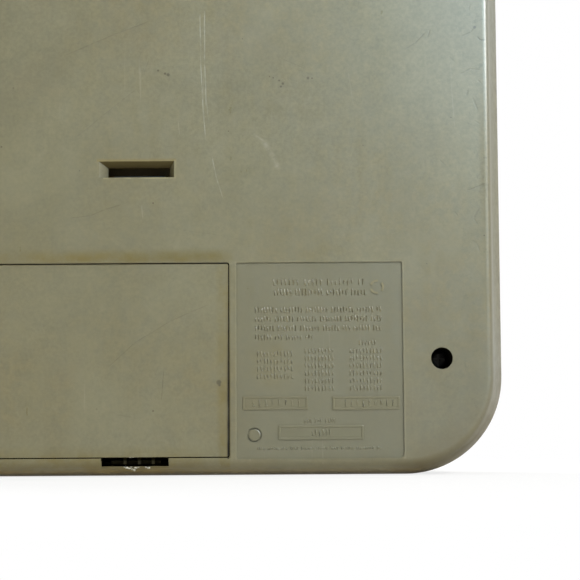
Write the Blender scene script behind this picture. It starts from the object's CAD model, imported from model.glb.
"""Looks for a hand-held electronic learning aid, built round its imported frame.

The case stands upright: X runs across it, Z up from its lower edge, the keys face -Y and the back
with the battery door faces +Y. Lengths are millimetres in the frame's own axes. Materials read
positions in metres and multiply by TO_MM where millimetres are wanted.
"""
import bpy
import bmesh
import math
import random
from contextlib import contextmanager
from mathutils import Matrix, Vector


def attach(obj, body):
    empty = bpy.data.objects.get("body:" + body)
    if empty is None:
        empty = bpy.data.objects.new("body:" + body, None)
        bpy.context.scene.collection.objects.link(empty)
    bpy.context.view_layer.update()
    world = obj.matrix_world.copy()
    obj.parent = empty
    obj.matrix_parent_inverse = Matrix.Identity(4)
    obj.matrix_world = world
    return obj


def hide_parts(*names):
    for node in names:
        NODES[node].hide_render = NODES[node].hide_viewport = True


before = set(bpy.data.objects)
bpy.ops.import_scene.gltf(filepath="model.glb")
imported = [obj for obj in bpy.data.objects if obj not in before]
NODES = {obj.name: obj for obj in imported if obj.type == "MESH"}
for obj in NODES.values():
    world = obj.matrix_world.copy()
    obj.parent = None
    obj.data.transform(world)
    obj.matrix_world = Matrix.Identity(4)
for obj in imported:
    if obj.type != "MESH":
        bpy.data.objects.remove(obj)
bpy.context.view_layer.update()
MM = 0.001
TO_MM = 1000.0
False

# ------------------------------------------------------------------ dimensions shared with the frame
# rectangles are (x0, x1, z0, z1)
HALF_W, HEIGHT, CORNER_R = 107.0, 290.0, 28.6
FRONT_Y, BACK_Y, PART_Y, SEAM = -20.0, 20.0, 4.0, 0.15
REAR_EDGE, FRONT_EDGE = PART_Y + SEAM, PART_Y - SEAM
RIM = 0.22                      # chamfer where the two shells meet
WALL = 2.4
FOLD_Z, TAPER = 138.5, 9.0      # above the fold the back slopes in by TAPER
BEVEL, FLANK, LOW_R = 3.95, 0.40, 4.9
OPENING = (-26.75, 79.7, 5.2, 61.6)
GAP, DOOR_T = 0.33, 2.1
LATCH_X, NOTCH_W, NOTCH_Z = (0.5, 52.5), 19.4, (2.9, 5.5)
TAB_X = (6.0, 47.0)
TRAY, TRAY_FLOOR = (-26.0, 79.0, 6.2, 60.6), -9.3
CELL_R, CELL_L, CELL_Y, CELL_Z = 13.1, 50.0, 4.1, (19.85, 46.95)
LABEL, LABEL_Y = (-77.0, -28.7, 4.8, 61.6), BACK_Y - 0.5
EJECTOR = (-33.9, 11.65)        # centre of the round mark in the label
SCREWS = [(-88.16, 33.4), (88.16, 33.4), (-88.16, 236.0), (88.16, 236.0)]
BORE_R, SEAT_Y = 3.15, 8.2
HANDLE, HANDLE_R = (-57.0, 57.0, 246.0, 275.0), 13.5
KEY_X = [27.0 * (i - 2.5) for i in range(6)]
KEY_Z = [129.5 - 29.0 * i for i in range(4)]
KEY_W, KEY_H, KEY_R = 21.6, 22.4, 3.4
KEY_FACE_Y = -22.5
KEYPAD, KEYPAD_R = (-82.0, 82.0, 27.0, 145.5), 7.0
WINDOW, WINDOW_R = (-92.0, 26.0, 184.0, 222.0), 3.0
SPK_X, SPK_Z, SPK_R = 60.0, 203.0, 27.0
JACK_Y, ADAPTER_Z, EARPHONE_Z = -7.5, 166, 181
KEY_NAMES = [
    ["power", "previous", "next", "mode", "replay", "clear"],
    ["7", "8", "9", "plus", "minus", "repeat"],
    ["4", "5", "6", "times", "divide", "hint"],
    ["1", "2", "3", "0", "point", "equals"],
]


# ------------------------------------------------------------------ plane outlines
def arc(x, z, radius, start, end, steps):
    turns = [start + (end - start) * i / steps for i in range(steps + 1)]
    return [(x + radius * math.cos(a), z + radius * math.sin(a)) for a in turns]


def circle(x, z, radius, count=48):
    turns = [2 * math.pi * i / count for i in range(count)]
    return [(x + radius * math.cos(a), z + radius * math.sin(a)) for a in turns]


def rrect(x0, x1, z0, z1, radius, steps=6):
    """Rounded rectangle. Four radii go round from the corner (x1, z0) to (x1, z1) and on."""
    a, b, c, d = radius if isinstance(radius, tuple) else (radius,) * 4
    quarter = math.pi / 2
    return (arc(x1 - a, z0 + a, a, -quarter, 0, steps)
            + arc(x1 - b, z1 - b, b, 0, quarter, steps)
            + arc(x0 + c, z1 - c, c, quarter, 2 * quarter, steps)
            + arc(x0 + d, z0 + d, d, 2 * quarter, 3 * quarter, steps))


def grown(rect, by):
    x0, x1, z0, z1 = rect
    return x0 - by, x1 + by, z0 - by, z1 + by


def fillet_profile(points, radii, steps):
    """Rounds the inner points of a polyline by their radii."""
    out = [points[0]]
    for i in range(1, len(points) - 1):
        corner = Vector(points[i])
        to_last = (Vector(points[i - 1]) - corner).normalized()
        to_next = (Vector(points[i + 1]) - corner).normalized()
        radius = radii[i - 1]
        angle = to_last.angle(to_next)
        reach = radius / math.tan(angle / 2)
        first, last = corner + to_last * reach, corner + to_next * reach
        centre = corner + (to_last + to_next).normalized() * (radius / math.sin(angle / 2))
        start = math.atan2(first.y - centre.y, first.x - centre.x)
        end = math.atan2(last.y - centre.y, last.x - centre.x)
        sweep_angle = (end - start + math.pi) % (2 * math.pi) - math.pi
        for k in range(steps + 1):
            turn = start + sweep_angle * k / steps
            out.append((centre.x + radius * math.cos(turn), centre.y + radius * math.sin(turn)))
    out.append(points[-1])
    return out


# ------------------------------------------------------------------ mesh helpers
@contextmanager
def editing(obj):
    """The object's mesh as a bmesh, written back at the end."""
    edit = bmesh.new()
    edit.from_mesh(obj.data)
    yield edit
    edit.to_mesh(obj.data)
    edit.free()


def add_object(name, data):
    obj = bpy.data.objects.new(name, data)
    bpy.context.scene.collection.objects.link(obj)
    return obj


def fix_normals(obj):
    with editing(obj) as edit:
        bmesh.ops.recalc_face_normals(edit, faces=edit.faces)


def mesh_obj(name, verts, faces):
    mesh = bpy.data.meshes.new(name)
    mesh.from_pydata([(x * MM, y * MM, z * MM) for x, y, z in verts], [], faces)
    mesh.update()
    obj = add_object(name, mesh)
    fix_normals(obj)
    return obj


def side_faces(start, count, levels):
    faces = []
    for k in range(levels - 1):
        low, high = start + k * count, start + (k + 1) * count
        for i in range(count):
            j = (i + 1) % count
            faces.append((low + i, low + j, high + j, high + i))
    return faces


def lofts(name, bodies):
    """One mesh of closed bodies, each a list of equal rings of (x, y, z), capped at its ends."""
    verts, faces = [], []
    for levels in bodies:
        start, count = len(verts), len(levels[0])
        verts += [point for ring in levels for point in ring]
        faces += side_faces(start, count, len(levels))
        faces.append(tuple(range(start, start + count)))
        faces.append(tuple(reversed(range(len(verts) - count, len(verts)))))
    return mesh_obj(name, verts, faces)


def loft(name, levels):
    return lofts(name, [levels])


def layered(levels):
    """Rings from (outline, y) pairs."""
    return [[(x, y, z) for x, z in points] for points, y in levels]


def prism(name, points, y0, y1):
    return loft(name, layered([(points, y0), (points, y1)]))


def box(name, x0, x1, y0, y1, z0, z1):
    return prism(name, [(x0, z0), (x1, z0), (x1, z1), (x0, z1)], y0, y1)


def bar_y(name, x, z, radius, y0, y1, count):
    return prism(name, circle(x, z, radius, count), y0, y1)


def along_x(name, points, x0, x1):
    """Prism along X from an outline of (y, z) points."""
    return loft(name, [[(x, y, z) for y, z in points] for x in (x0, x1)])


def turned_y(name, profile, x, z, count=48):
    """Body of revolution about a Y axis through (x, z); the profile is (radius, y) pairs."""
    verts, faces, rows = [], [], []
    for radius, y in profile:
        start = len(verts)
        ring = [(x, y, z)] if radius < 1e-6 else [(a, y, b) for a, b in circle(x, z, radius, count)]
        verts += ring
        rows.append(list(range(start, start + len(ring))))
    for row, following in zip(rows, rows[1:]):
        for i in range(count):
            j = (i + 1) % count
            if len(row) == 1:
                faces.append((row[0], following[j], following[i]))
            elif len(following) == 1:
                faces.append((row[i], row[j], following[0]))
            else:
                faces.append((row[i], row[j], following[j], following[i]))
    return mesh_obj(name, verts, faces)


def turned_x(name, profile, y, z, count=64):
    """Body of revolution about an X axis through (y, z); the profile is (x, radius) pairs."""
    obj = turned_y(name, [(radius, x) for x, radius in profile], 0, 0, count)
    for vert in obj.data.vertices:
        across, axial, up = vert.co
        vert.co = (axial, y * MM + across, z * MM + up)
    fix_normals(obj)
    return obj


def close_ring(obj, count):
    """Joins the last row of a turned body to its first, where the profile misses the axis."""
    with editing(obj) as edit:
        edit.verts.ensure_lookup_table()
        last = len(edit.verts) - count
        for k in range(count):
            j = (k + 1) % count
            edit.faces.new([edit.verts[i] for i in (last + k, last + j, j, k)])
    fix_normals(obj)


def sweep(name, points, radius, count=10):
    """Round wire along a list of points, closed at both ends."""
    levels = []
    up = None
    path = [Vector(point) for point in points]
    for i, centre in enumerate(path):
        ahead = (path[min(i + 1, len(path) - 1)] - path[max(i - 1, 0)]).normalized()
        if up is None:
            up = ahead.orthogonal().normalized()
        up = (up - ahead * up.dot(ahead)).normalized()
        side = ahead.cross(up)
        turns = [2 * math.pi * k / count for k in range(count)]
        levels.append([tuple(centre + up * (radius * math.cos(a)) + side * (radius * math.sin(a)))
                       for a in turns])
    return loft(name, levels)


def remove(obj):
    mesh = obj.data
    bpy.data.objects.remove(obj, do_unlink=True)
    if mesh.users == 0:
        bpy.data.meshes.remove(mesh)


def join(name, parts):
    """One object from several, keeping their materials."""
    mesh = bpy.data.meshes.new(name)
    edit = bmesh.new()
    materials = []
    for part in parts:
        for material in part.data.materials:
            if material not in materials:
                materials.append(material)
    for part in parts:
        start = len(edit.faces)
        edit.from_mesh(part.data)
        edit.faces.ensure_lookup_table()
        slots = [materials.index(material) for material in part.data.materials] or [0]
        for face in list(edit.faces)[start:]:
            face.material_index = slots[min(face.material_index, len(slots) - 1)]
    edit.to_mesh(mesh)
    edit.free()
    for material in materials:
        mesh.materials.append(material)
    obj = add_object(name, mesh)
    for part in parts:
        remove(part)
    return obj


def apply_mods(obj):
    graph = bpy.context.evaluated_depsgraph_get()
    graph.update()
    mesh = bpy.data.meshes.new_from_object(obj.evaluated_get(graph), preserve_all_data_layers=True,
                                           depsgraph=graph)
    old = obj.data
    obj.modifiers.clear()
    obj.data = mesh
    if old.users == 0:
        bpy.data.meshes.remove(old)


def boolean(obj, tool, operation):
    modifier = obj.modifiers.new("cut", "BOOLEAN")
    modifier.operation = operation
    modifier.solver = "EXACT"
    modifier.object = tool
    apply_mods(obj)
    remove(tool)
    if len(obj.data.polygons) == 0:
        raise RuntimeError("boolean emptied " + obj.name)


def cut(obj, *tools):
    for tool in tools:
        boolean(obj, tool, "DIFFERENCE")


def weld(obj, *pieces):
    for piece in pieces:
        boolean(obj, piece, "UNION")


def clean(obj):
    with editing(obj) as edit:
        bmesh.ops.remove_doubles(edit, verts=edit.verts, dist=0.0015 * MM)
        bmesh.ops.dissolve_limit(edit, angle_limit=math.radians(0.4), verts=edit.verts,
                                 edges=edit.edges, delimit={"MATERIAL"})


def smooth(obj, angle):
    limit = math.radians(angle)
    with editing(obj) as edit:
        for face in edit.faces:
            face.smooth = True
        for edge in edit.edges:
            edge.smooth = len(edge.link_faces) == 2 and edge.calc_face_angle(0) < limit


def soften(obj, width, segments, angle=36, bake=False):
    """Small fillets on the hard edges, then face-weighted normals, so flat faces stay flat."""
    fillet = obj.modifiers.new("fillet", "BEVEL")
    fillet.width = width * MM
    fillet.segments = segments
    fillet.limit_method = "ANGLE"
    fillet.angle_limit = math.radians(angle)
    fillet.miter_outer = "MITER_ARC"
    fillet.use_clamp_overlap = True
    apply_mods(obj)
    smooth(obj, 40)
    normals = obj.modifiers.new("normals", "WEIGHTED_NORMAL")
    normals.keep_sharp = True
    normals.weight = 80
    if bake:
        apply_mods(obj)


def paint(obj, *materials):
    obj.data.materials.clear()
    for material in materials:
        obj.data.materials.append(material)


def register(obj, replaces=None, rides="casing"):
    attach(obj, rides)
    if replaces:
        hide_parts(replaces)


# ------------------------------------------------------------------ casing outline
def taper(z):
    return max(0.0, z - FOLD_Z) * TAPER / (HEIGHT - FOLD_Z)


def outline(inset, low, steps):
    """low: inset of the lower edge. The flanks draw in a little below the fold."""
    side, top = HALF_W - inset, HEIGHT - inset
    low_r, top_r = max(CORNER_R - (inset + low) / 2, 1), max(CORNER_R - inset, 1)
    quarter = math.pi / 2

    def drawn(x, z):
        share = min(1.0, max(0.0, (FOLD_Z - z) / 108.0))
        return x - math.copysign(FLANK * share * min(1.0, abs(x) / 80.0), x), z

    first = arc(side - low_r, low + low_r, low_r, -quarter, 0, steps)
    last = arc(-side + low_r, low + low_r, low_r, 2 * quarter, 3 * quarter, steps)
    return ([drawn(x, z) for x, z in first] + [(side, FOLD_Z)]
            + arc(side - top_r, top - top_r, top_r, 0, quarter, steps)
            + arc(-side + top_r, top - top_r, top_r, quarter, 2 * quarter, steps)
            + [(-side, FOLD_Z)] + [drawn(x, z) for x, z in last])


def casing_loft(name, levels, steps, tapered):
    """levels: (y, inset) or (y, inset, inset of the lower edge). Caps are split at the fold."""
    rings = []
    for y, inset, *low in levels:
        depth = min(1.0, max(0.0, (y - PART_Y) / (BACK_Y - PART_Y))) if tapered else 0.0
        ring = outline(inset, low[0] if low else inset, steps)
        rings.append([(x, y - taper(z) * depth, z) for x, z in ring])
    count = len(rings[0])
    fold_high_x = steps + 1
    fold_low_x = fold_high_x + 2 * (steps + 1) + 1
    faces = side_faces(0, count, len(rings))
    for base, flip in ((0, False), ((len(rings) - 1) * count, True)):
        upper = range(fold_high_x, fold_low_x + 1)
        lower = list(range(fold_low_x, count)) + list(range(fold_high_x + 1))
        for cap in (upper, lower):
            face = [base + i for i in cap]
            faces.append(tuple(reversed(face)) if flip else tuple(face))
    return mesh_obj(name, [point for ring in rings for point in ring], faces)


# ------------------------------------------------------------------ node helpers
class Signal:
    """The value of a node socket. Arithmetic on it adds nodes to its tree."""

    def __init__(self, tree, socket):
        self.tree = tree
        self.socket = socket

    def __add__(self, other):
        return self.tree.math("ADD", self, other)

    def __radd__(self, other):
        return self.tree.math("ADD", other, self)

    def __sub__(self, other):
        return self.tree.math("SUBTRACT", self, other)

    def __rsub__(self, other):
        return self.tree.math("SUBTRACT", other, self)

    def __mul__(self, other):
        return self.tree.math("MULTIPLY", self, other)

    def __abs__(self):
        return self.tree.math("ABSOLUTE", self)

    def max(self, other):
        return self.tree.math("MAXIMUM", self, other)

    def above(self, limit):
        return self.tree.math("GREATER_THAN", self, limit)

    def below(self, limit):
        return self.tree.math("LESS_THAN", self, limit)

    def band(self, centre, half):
        """One within half of the centre, else zero."""
        return self.tree.math("COMPARE", self, centre, half)

    def pingpong(self, scale):
        return self.tree.math("PINGPONG", self, scale)

    def sqrt(self):
        return self.tree.math("SQRT", self)

    def fade(self, start, end, to=(0.0, 1.0), smooth=False):
        """Goes from to[0] to to[1] as the value goes from start to end, and holds outside."""
        node = self.tree.node("MapRange")
        node.interpolation_type = "SMOOTHSTEP" if smooth else "LINEAR"
        for slot, value in zip(node.inputs, (self, start, end, *to)):
            self.tree.put(slot, value)
        return Signal(self.tree, node.outputs[0])


class Tree:
    """A node tree, built by calls that each add a node."""

    def __init__(self, tree):
        self.tree = tree

    def node(self, kind):
        return self.tree.nodes.new("ShaderNode" + kind)

    def output(self, kind, name):
        return Signal(self, self.node(kind).outputs[name])

    def put(self, slot, value):
        value = getattr(value, "socket", value)
        if isinstance(value, bpy.types.NodeSocket):
            self.tree.links.new(value, slot)
        else:
            slot.default_value = value

    def math(self, operation, *values, clamp=False):
        node = self.node("Math")
        node.operation = operation
        node.use_clamp = clamp
        for slot, value in zip(node.inputs, values):
            self.put(slot, value)
        return Signal(self, node.outputs[0])

    def vmath(self, operation, *values, scale=None):
        node = self.node("VectorMath")
        node.operation = operation
        for slot, value in zip(node.inputs, values):
            self.put(slot, value)
        if scale is not None:
            self.put(node.inputs["Scale"], scale)
        scalar = operation in ("LENGTH", "DOT_PRODUCT", "DISTANCE")
        return Signal(self, node.outputs["Value" if scalar else "Vector"])


class Mat(Tree):
    """A material on one principled shader; colour holds the base colour as layers go on."""

    SOCKETS = {"rough": "Roughness", "metal": "Metallic", "normal": "Normal",
               "spec": "Specular IOR Level", "coat": "Coat Weight", "coat_rough": "Coat Roughness",
               "sheen": "Sheen Weight", "emit": "Emission Color", "emit_s": "Emission Strength"}

    def __init__(self, name):
        self.material = bpy.data.materials.new(name)
        self.material.use_nodes = True
        super().__init__(self.material.node_tree)
        self.tree.nodes.clear()
        self.out = self.node("OutputMaterial")
        self.bsdf = self.node("BsdfPrincipled")
        self.put(self.out.inputs[0], self.bsdf.outputs[0])
        self.position = self.output("TexCoord", "Object")

    def noise(self, scale, detail=3.0, rough=0.55, vec=None, dist=0.0, out=0):
        """out: 0 for the grey value, 1 for the colour."""
        node = self.node("TexNoise")
        node.inputs["Scale"].default_value = scale
        node.inputs["Detail"].default_value = detail
        node.inputs["Roughness"].default_value = rough
        node.inputs["Distortion"].default_value = dist
        self.put(node.inputs["Vector"], vec or self.position)
        return Signal(self, node.outputs[out])

    def voronoi(self, scale, vec=None, metric="EUCLIDEAN"):
        node = self.node("TexVoronoi")
        node.distance = metric
        node.inputs["Scale"].default_value = scale
        self.put(node.inputs["Vector"], vec or self.position)
        return Signal(self, node.outputs["Distance"])

    def mix(self, amount, first, second, blend="MIX"):
        node = self.node("Mix")
        node.data_type = "RGBA"
        node.blend_type = blend
        self.put(node.inputs[0], amount)
        for index, value in ((6, first), (7, second)):
            self.put(node.inputs[index], value if isinstance(value, Signal) else rgba(value))
        return Signal(self, node.outputs[2])

    def mottle(self, noise, first, second):
        """Starts the base colour as a drift between two colours."""
        self.colour = self.mix(noise.fade(0.3, 0.7), first, second)

    def layer(self, mask, colour, amount=None, blend="MIX"):
        """Lays a colour over the base colour where the mask is on."""
        if amount is not None:
            mask = mask * amount
        self.colour = self.mix(mask, self.colour, colour, blend)

    def xyz(self, vec=None):
        node = self.node("SeparateXYZ")
        self.put(node.inputs[0], vec or self.position)
        return [Signal(self, socket) for socket in node.outputs]

    def scaled(self, x, y, z):
        node = self.node("Mapping")
        node.inputs["Scale"].default_value = (x, y, z)
        self.put(node.inputs[0], self.position)
        return Signal(self, node.outputs[0])

    def bump(self, height, strength, distance):
        node = self.node("Bump")
        node.inputs["Strength"].default_value = strength
        node.inputs["Distance"].default_value = distance
        self.put(node.inputs["Height"], height)
        return Signal(self, node.outputs[0])

    def occlusion(self, distance):
        node = self.node("AmbientOcclusion")
        node.samples = 3
        node.inputs["Distance"].default_value = distance
        return Signal(self, node.outputs["AO"])

    def outer_edges(self, start, end, scale, detail):
        """Broken mask of the convex edges, from the pointiness between start and end."""
        sharp = self.output("NewGeometry", "Pointiness").fade(start, end)
        return sharp * self.noise(scale, detail).fade(0.4, 0.65)

    def mix_shaders(self, amount, first, second):
        node = self.node("MixShader")
        for slot, value in zip(node.inputs, (amount, first, second)):
            self.put(slot, value)
        self.put(self.out.inputs[0], node.outputs[0])

    def finish(self, **values):
        colour = self.colour
        self.put(self.bsdf.inputs["Base Color"],
                 colour if isinstance(colour, Signal) else rgba(colour))
        for key, value in values.items():
            self.put(self.bsdf.inputs[self.SOCKETS[key]], rgba(value) if key == "emit" else value)
        return self.material


def rgba(colour):
    return (*colour, 1.0)


def times(colour, *factors):
    """Colour multiplied by one factor, or by one for each channel."""
    if len(factors) == 1:
        factors *= 3
    return tuple(channel * factor for channel, factor in zip(colour, factors))


def srgb(*levels):
    """Linear colour from 0-255 levels."""
    shares = [level / 255.0 for level in levels]
    return tuple(s / 12.92 if s <= 0.04045 else ((s + 0.055) / 1.055) ** 2.4 for s in shares)


# ------------------------------------------------------------------ scratches on the back
def segment_group():
    """Mask of one stroke from A to B: a soft line that fades towards both ends."""
    group = bpy.data.node_groups.new("segment_mask", "ShaderNodeTree")
    for name, kind in (("Vector", "Vector"), ("A", "Vector"), ("B", "Vector"), ("Width", "Float")):
        group.interface.new_socket(name, in_out="INPUT", socket_type="NodeSocket" + kind)
    group.interface.new_socket("Mask", in_out="OUTPUT", socket_type="NodeSocketFloat")
    tree = Tree(group)
    source = group.nodes.new("NodeGroupInput")
    result = group.nodes.new("NodeGroupOutput")
    point, start, end, width = [Signal(tree, source.outputs[name])
                                for name in ("Vector", "A", "B", "Width")]
    along = tree.vmath("SUBTRACT", end, start)
    offset = tree.vmath("SUBTRACT", point, start)
    share = tree.math("DIVIDE", tree.vmath("DOT_PRODUCT", offset, along),
                      tree.vmath("DOT_PRODUCT", along, along), clamp=True)
    nearest = tree.vmath("SCALE", along, scale=share)
    distance = tree.vmath("LENGTH", tree.vmath("SUBTRACT", offset, nearest))
    line = distance.fade(0.0, width, to=(1.0, 0.0), smooth=True)
    ends = share.pingpong(0.5).fade(0.0, 0.12, to=(0.35, 1.0))
    tree.put(result.inputs[0], line * ends)
    return group


SEGMENT = segment_group()


def after(mat, vec, earlier):
    """vec, made to wait for an earlier mask, which keeps the compiled shader's stack small."""
    return vec if earlier is None else mat.vmath("ADD", vec, earlier * 1e-9)


def strokes(mat, flat, lines):
    """Largest mask over several scratches."""
    total = None
    for points, width, strength in lines:
        for start, end in zip(points, points[1:]):
            node = mat.node("Group")
            node.node_tree = SEGMENT
            mat.put(node.inputs["Vector"], after(mat, flat, total))
            node.inputs["A"].default_value = (start[0] * MM, 0, start[1] * MM)
            node.inputs["B"].default_value = (end[0] * MM, 0, end[1] * MM)
            node.inputs["Width"].default_value = width * MM
            mask = Signal(mat, node.outputs[0]) * strength
            total = mask if total is None else total.max(mask)
    return total


# scratches: points (x, z), width, strength
LIGHT_SCRATCHES = [
    ([(-18.3, 135.5), (-18.7, 124.0), (-19.0, 111.2), (-20.0, 98.0)], 0.22, 0.42),
    ([(-20.1, 111.2), (-20.9, 103.0)], 0.20, 0.20),
    ([(-21.8, 93.0), (-23.2, 86.4), (-25.0, 80.6)], 0.24, 0.36),
    ([(-19.6, 136.5), (-19.9, 121.0), (-20.1, 108.0)], 0.22, 0.42),
    ([(-1.1, 78.7), (-1.7, 74.8)], 0.25, 0.22),
    ([(-37.2, 97.0), (-38.4, 94.6), (-39.6, 92.6), (-41.0, 89.6)], 1.15, 0.34),
    ([(-34.0, 99.6), (-37.0, 97.4)], 0.6, 0.20), ([(-62.0, 118.0), (-63.4, 108.0)], 0.2, 0.18),
    ([(-92.1, 120.0), (-93.0, 101.0)], 0.2, 0.18), ([(-12.0, 104.0), (-12.4, 99.5)], 0.2, 0.2),
]
DARK_SCRATCHES = [
    ([(21.0, 123.6), (12.7, 127.3), (5.3, 130.3), (-3.0, 133.3)], 0.26, 0.55),
    ([(18.1, 98.9), (11.1, 104.5), (5.2, 109.3), (0.8, 112.8)], 0.24, 0.45),
    ([(19.5, 75.0), (13.8, 75.5), (9.5, 77.3), (5.1, 78.7)], 0.28, 0.60),
    ([(8.3, 31.5), (0.6, 38.4), (-9.6, 44.7), (-20.6, 49.3)], 0.26, 0.60),
    ([(-7.6, 30.2), (-7.3, 24.8), (-7.0, 21.9)], 0.30, 0.55),
    ([(-79.3, 124.6), (-81.6, 126.2), (-84.7, 129.4)], 0.34, 0.85),
    ([(-85.3, 127.9), (-86.2, 130.3)], 0.36, 0.85), ([(-98.6, 83.1), (-101.3, 84.2)], 0.26, 0.6),
    ([(-95.1, 128.3), (-98.0, 129.6), (-99.5, 131.5)], 0.34, 0.8),
    ([(-100.0, 128.1), (-100.9, 127.2), (-102.1, 127.2)], 0.40, 0.9),
    ([(-91.9, 122.1), (-93.4, 120.6)], 0.40, 0.55),
    ([(-95.1, 117.0), (-97.8, 118.5), (-100.7, 118.2)], 0.34, 0.65),
    ([(-97.1, 112.2), (-96.8, 110.7)], 0.5, 0.6), ([(-98.5, 110.1), (-99.9, 106.2)], 0.45, 0.45),
    ([(-98.6, 83.1), (-96.2, 82.2)], 0.30, 0.75),
    ([(-99.7, 76.9), (-98.1, 74.2), (-99.3, 72.4)], 0.45, 0.45),
    ([(-97.4, 67.8), (-98.9, 66.9), (-99.7, 64.8)], 0.45, 0.40),
    ([(-98.1, 138.0), (-97.5, 136.2)], 0.5, 0.45), ([(-100.1, 115.2), (-101.2, 114.0)], 0.35, 0.6),
    ([(-98.7, 103.2), (-100.4, 102.0)], 0.35, 0.4), ([(-92.6, 76.0), (-93.5, 74.8)], 0.35, 0.4),
    ([(-88.5, 91.4), (-90.2, 89.6)], 0.35, 0.35), ([(-1.8, 118.0), (-3.1, 121.6)], 0.2, 0.4),
    ([(-42.0, 122.0), (-49.0, 119.0)], 0.2, 0.25), ([(-24.0, 69.5), (-12.0, 71.2)], 0.2, 0.22),
    ([(6.0, 17.6), (1.6, 16.9)], 0.3, 0.35), ([(60.0, 102.0), (44.0, 120.0)], 0.22, 0.45),
    ([(-60.0, 168.0), (-31.0, 181.0), (-12.0, 186.0)], 0.24, 0.45),
    ([(30.0, 205.0), (52.0, 221.0)], 0.24, 0.45), ([(70.0, 30.0), (58.0, 44.0)], 0.22, 0.4),
]
# dark specks: x, z, radius
SPECKS = [
    (-8.9, 117.3, 0.62), (-8.0, 117.6, 0.46), (-5.9, 118.5, 0.40), (-50.1, 116.1, 0.52),
    (-51.3, 116.0, 0.34), (-99.2, 131.1, 0.62), (-26.5, 100.4, 0.24), (-101.0, 69.2, 0.30),
    (-42.7, 114.4, 0.50), (-42.1, 113.5, 0.42), (-41.6, 115.3, 0.34), (-39.9, 116.2, 0.28),
    (-38.8, 116.6, 0.24), (-4.6, 79.2, 0.34), (-4.7, 18.7, 0.36), (-23.7, 26.7, 0.95),
    (-23.9, 25.9, 0.50), (-66.0, 96.0, 0.22), (-84.0, 61.0, 0.25), (-31.0, 128.0, 0.22),
    (-92.0, 104.0, 0.24), (-70.3, 31.9, 0.2), (17.0, 89.0, 0.25), (40.0, 96.0, 0.35),
    (55.0, 131.0, 0.3), (-40.0, 210.0, 0.4), (20.0, 232.0, 0.35),
]
DOOR_ZONE = (-26.6, 79.6, 5.3, 61.5)


def in_door(points):
    x0, x1, z0, z1 = DOOR_ZONE
    return all(x0 < x < x1 and z0 < z < z1 for x, z in points)


# ------------------------------------------------------------------ aged plastic
class AgedPlastic(Mat):
    """Aged satin ABS: fine moulded grain, uneven yellowing and grime."""

    fine_amount = 0.2       # strength of the finest mottling

    def __init__(self, name, base, wear=1.0, grain=1.0):
        super().__init__(name)
        self.base = base
        self.wear = wear
        self.grain = grain

    def tinge(self, mask, factors, amount=None):
        """Layer of the base colour, multiplied channel by channel."""
        self.layer(mask, times(self.base, *factors), amount)

    def build(self):
        self.tone()
        self.moulded_surface()
        self.face_marks()
        self.grime_and_edges()
        self.last_shades()
        self.hairs()
        return self.finish(rough=self.rough, spec=self.specular(),
                           normal=self.bump(self.height, strength=0.30, distance=0.00006))

    def tone(self):
        """Broad unevenness of the ageing, then small mottling."""
        broad = self.noise(9.0, rough=0.6)
        self.mid = self.noise(46.0, detail=4.0, rough=0.6)
        self.fine = self.noise(420.0, rough=0.6)
        warm, cool = times(self.base, 1.03, 0.965, 0.83), times(self.base, 0.955, 0.99, 1.01)
        self.colour = self.mix(broad.fade(0.36, 0.66), warm, cool)
        self.tinge(self.mid.fade(0.55, 0.8, to=(0.0, 0.34)), (0.93, 0.86, 0.75))
        self.tinge(self.mid.fade(0.42, 0.2, to=(0.0, 0.30)), (1.06, 1.09, 1.05))
        self.tinge(self.fine.fade(0.40, 0.62, to=(0.0, self.fine_amount)), (0.81, 0.81, 0.79))

    def moulded_surface(self):
        """Gloss with upright streaks, and a height of fine, middle and broad grain."""
        streak = self.noise(420.0, detail=2.0, rough=0.5, vec=self.scaled(1.0, 1.0, 0.05))
        self.rough = (self.mid.fade(0.3, 0.7, to=(0.29, 0.36))
                      + streak.fade(0.3, 0.7, to=(0.0, 0.05)))
        self.tinge(streak.fade(0.45, 0.7, to=(0.0, 0.10)), (0.86, 0.86, 0.84))
        height = self.noise(1500.0, detail=2.0, rough=0.6) * (0.8 * self.grain)
        height = height + self.noise(430.0, detail=2.0, rough=0.5) * (0.5 * self.grain)
        self.height = height + self.noise(60.0, detail=2.0, rough=0.5) * 0.6

    def face_marks(self):
        """Nothing on plain pieces."""

    def last_shades(self):
        """Nothing on plain pieces."""

    def corner_grime(self):
        return self.occlusion(0.0006).fade(0.66, 0.30, to=(0.0, 0.42 * self.wear))

    def grime_and_edges(self):
        """Grime held in sharp inner corners, pale rub on the outer edges."""
        self.tinge(self.corner_grime(), (0.34, 0.27, 0.15))
        edges = self.outer_edges(0.515, 0.56, scale=120.0, detail=3.0)
        self.tinge(edges, (1.25, 1.22, 1.1), amount=0.28 * self.wear)

    def hairs(self):
        """Short, hair-fine scratches everywhere."""
        drawn_out = self.scaled(1.0, 1.0, 0.035)
        hairs = self.noise(900.0, detail=1.0, rough=0.5, vec=drawn_out).fade(0.70, 0.76)
        hairs = hairs * self.noise(30.0, detail=1.0).fade(0.52, 0.66)
        self.layer(hairs, (0.55, 0.55, 0.48), amount=0.10 * self.wear)

    def specular(self):
        return 0.44


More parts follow.
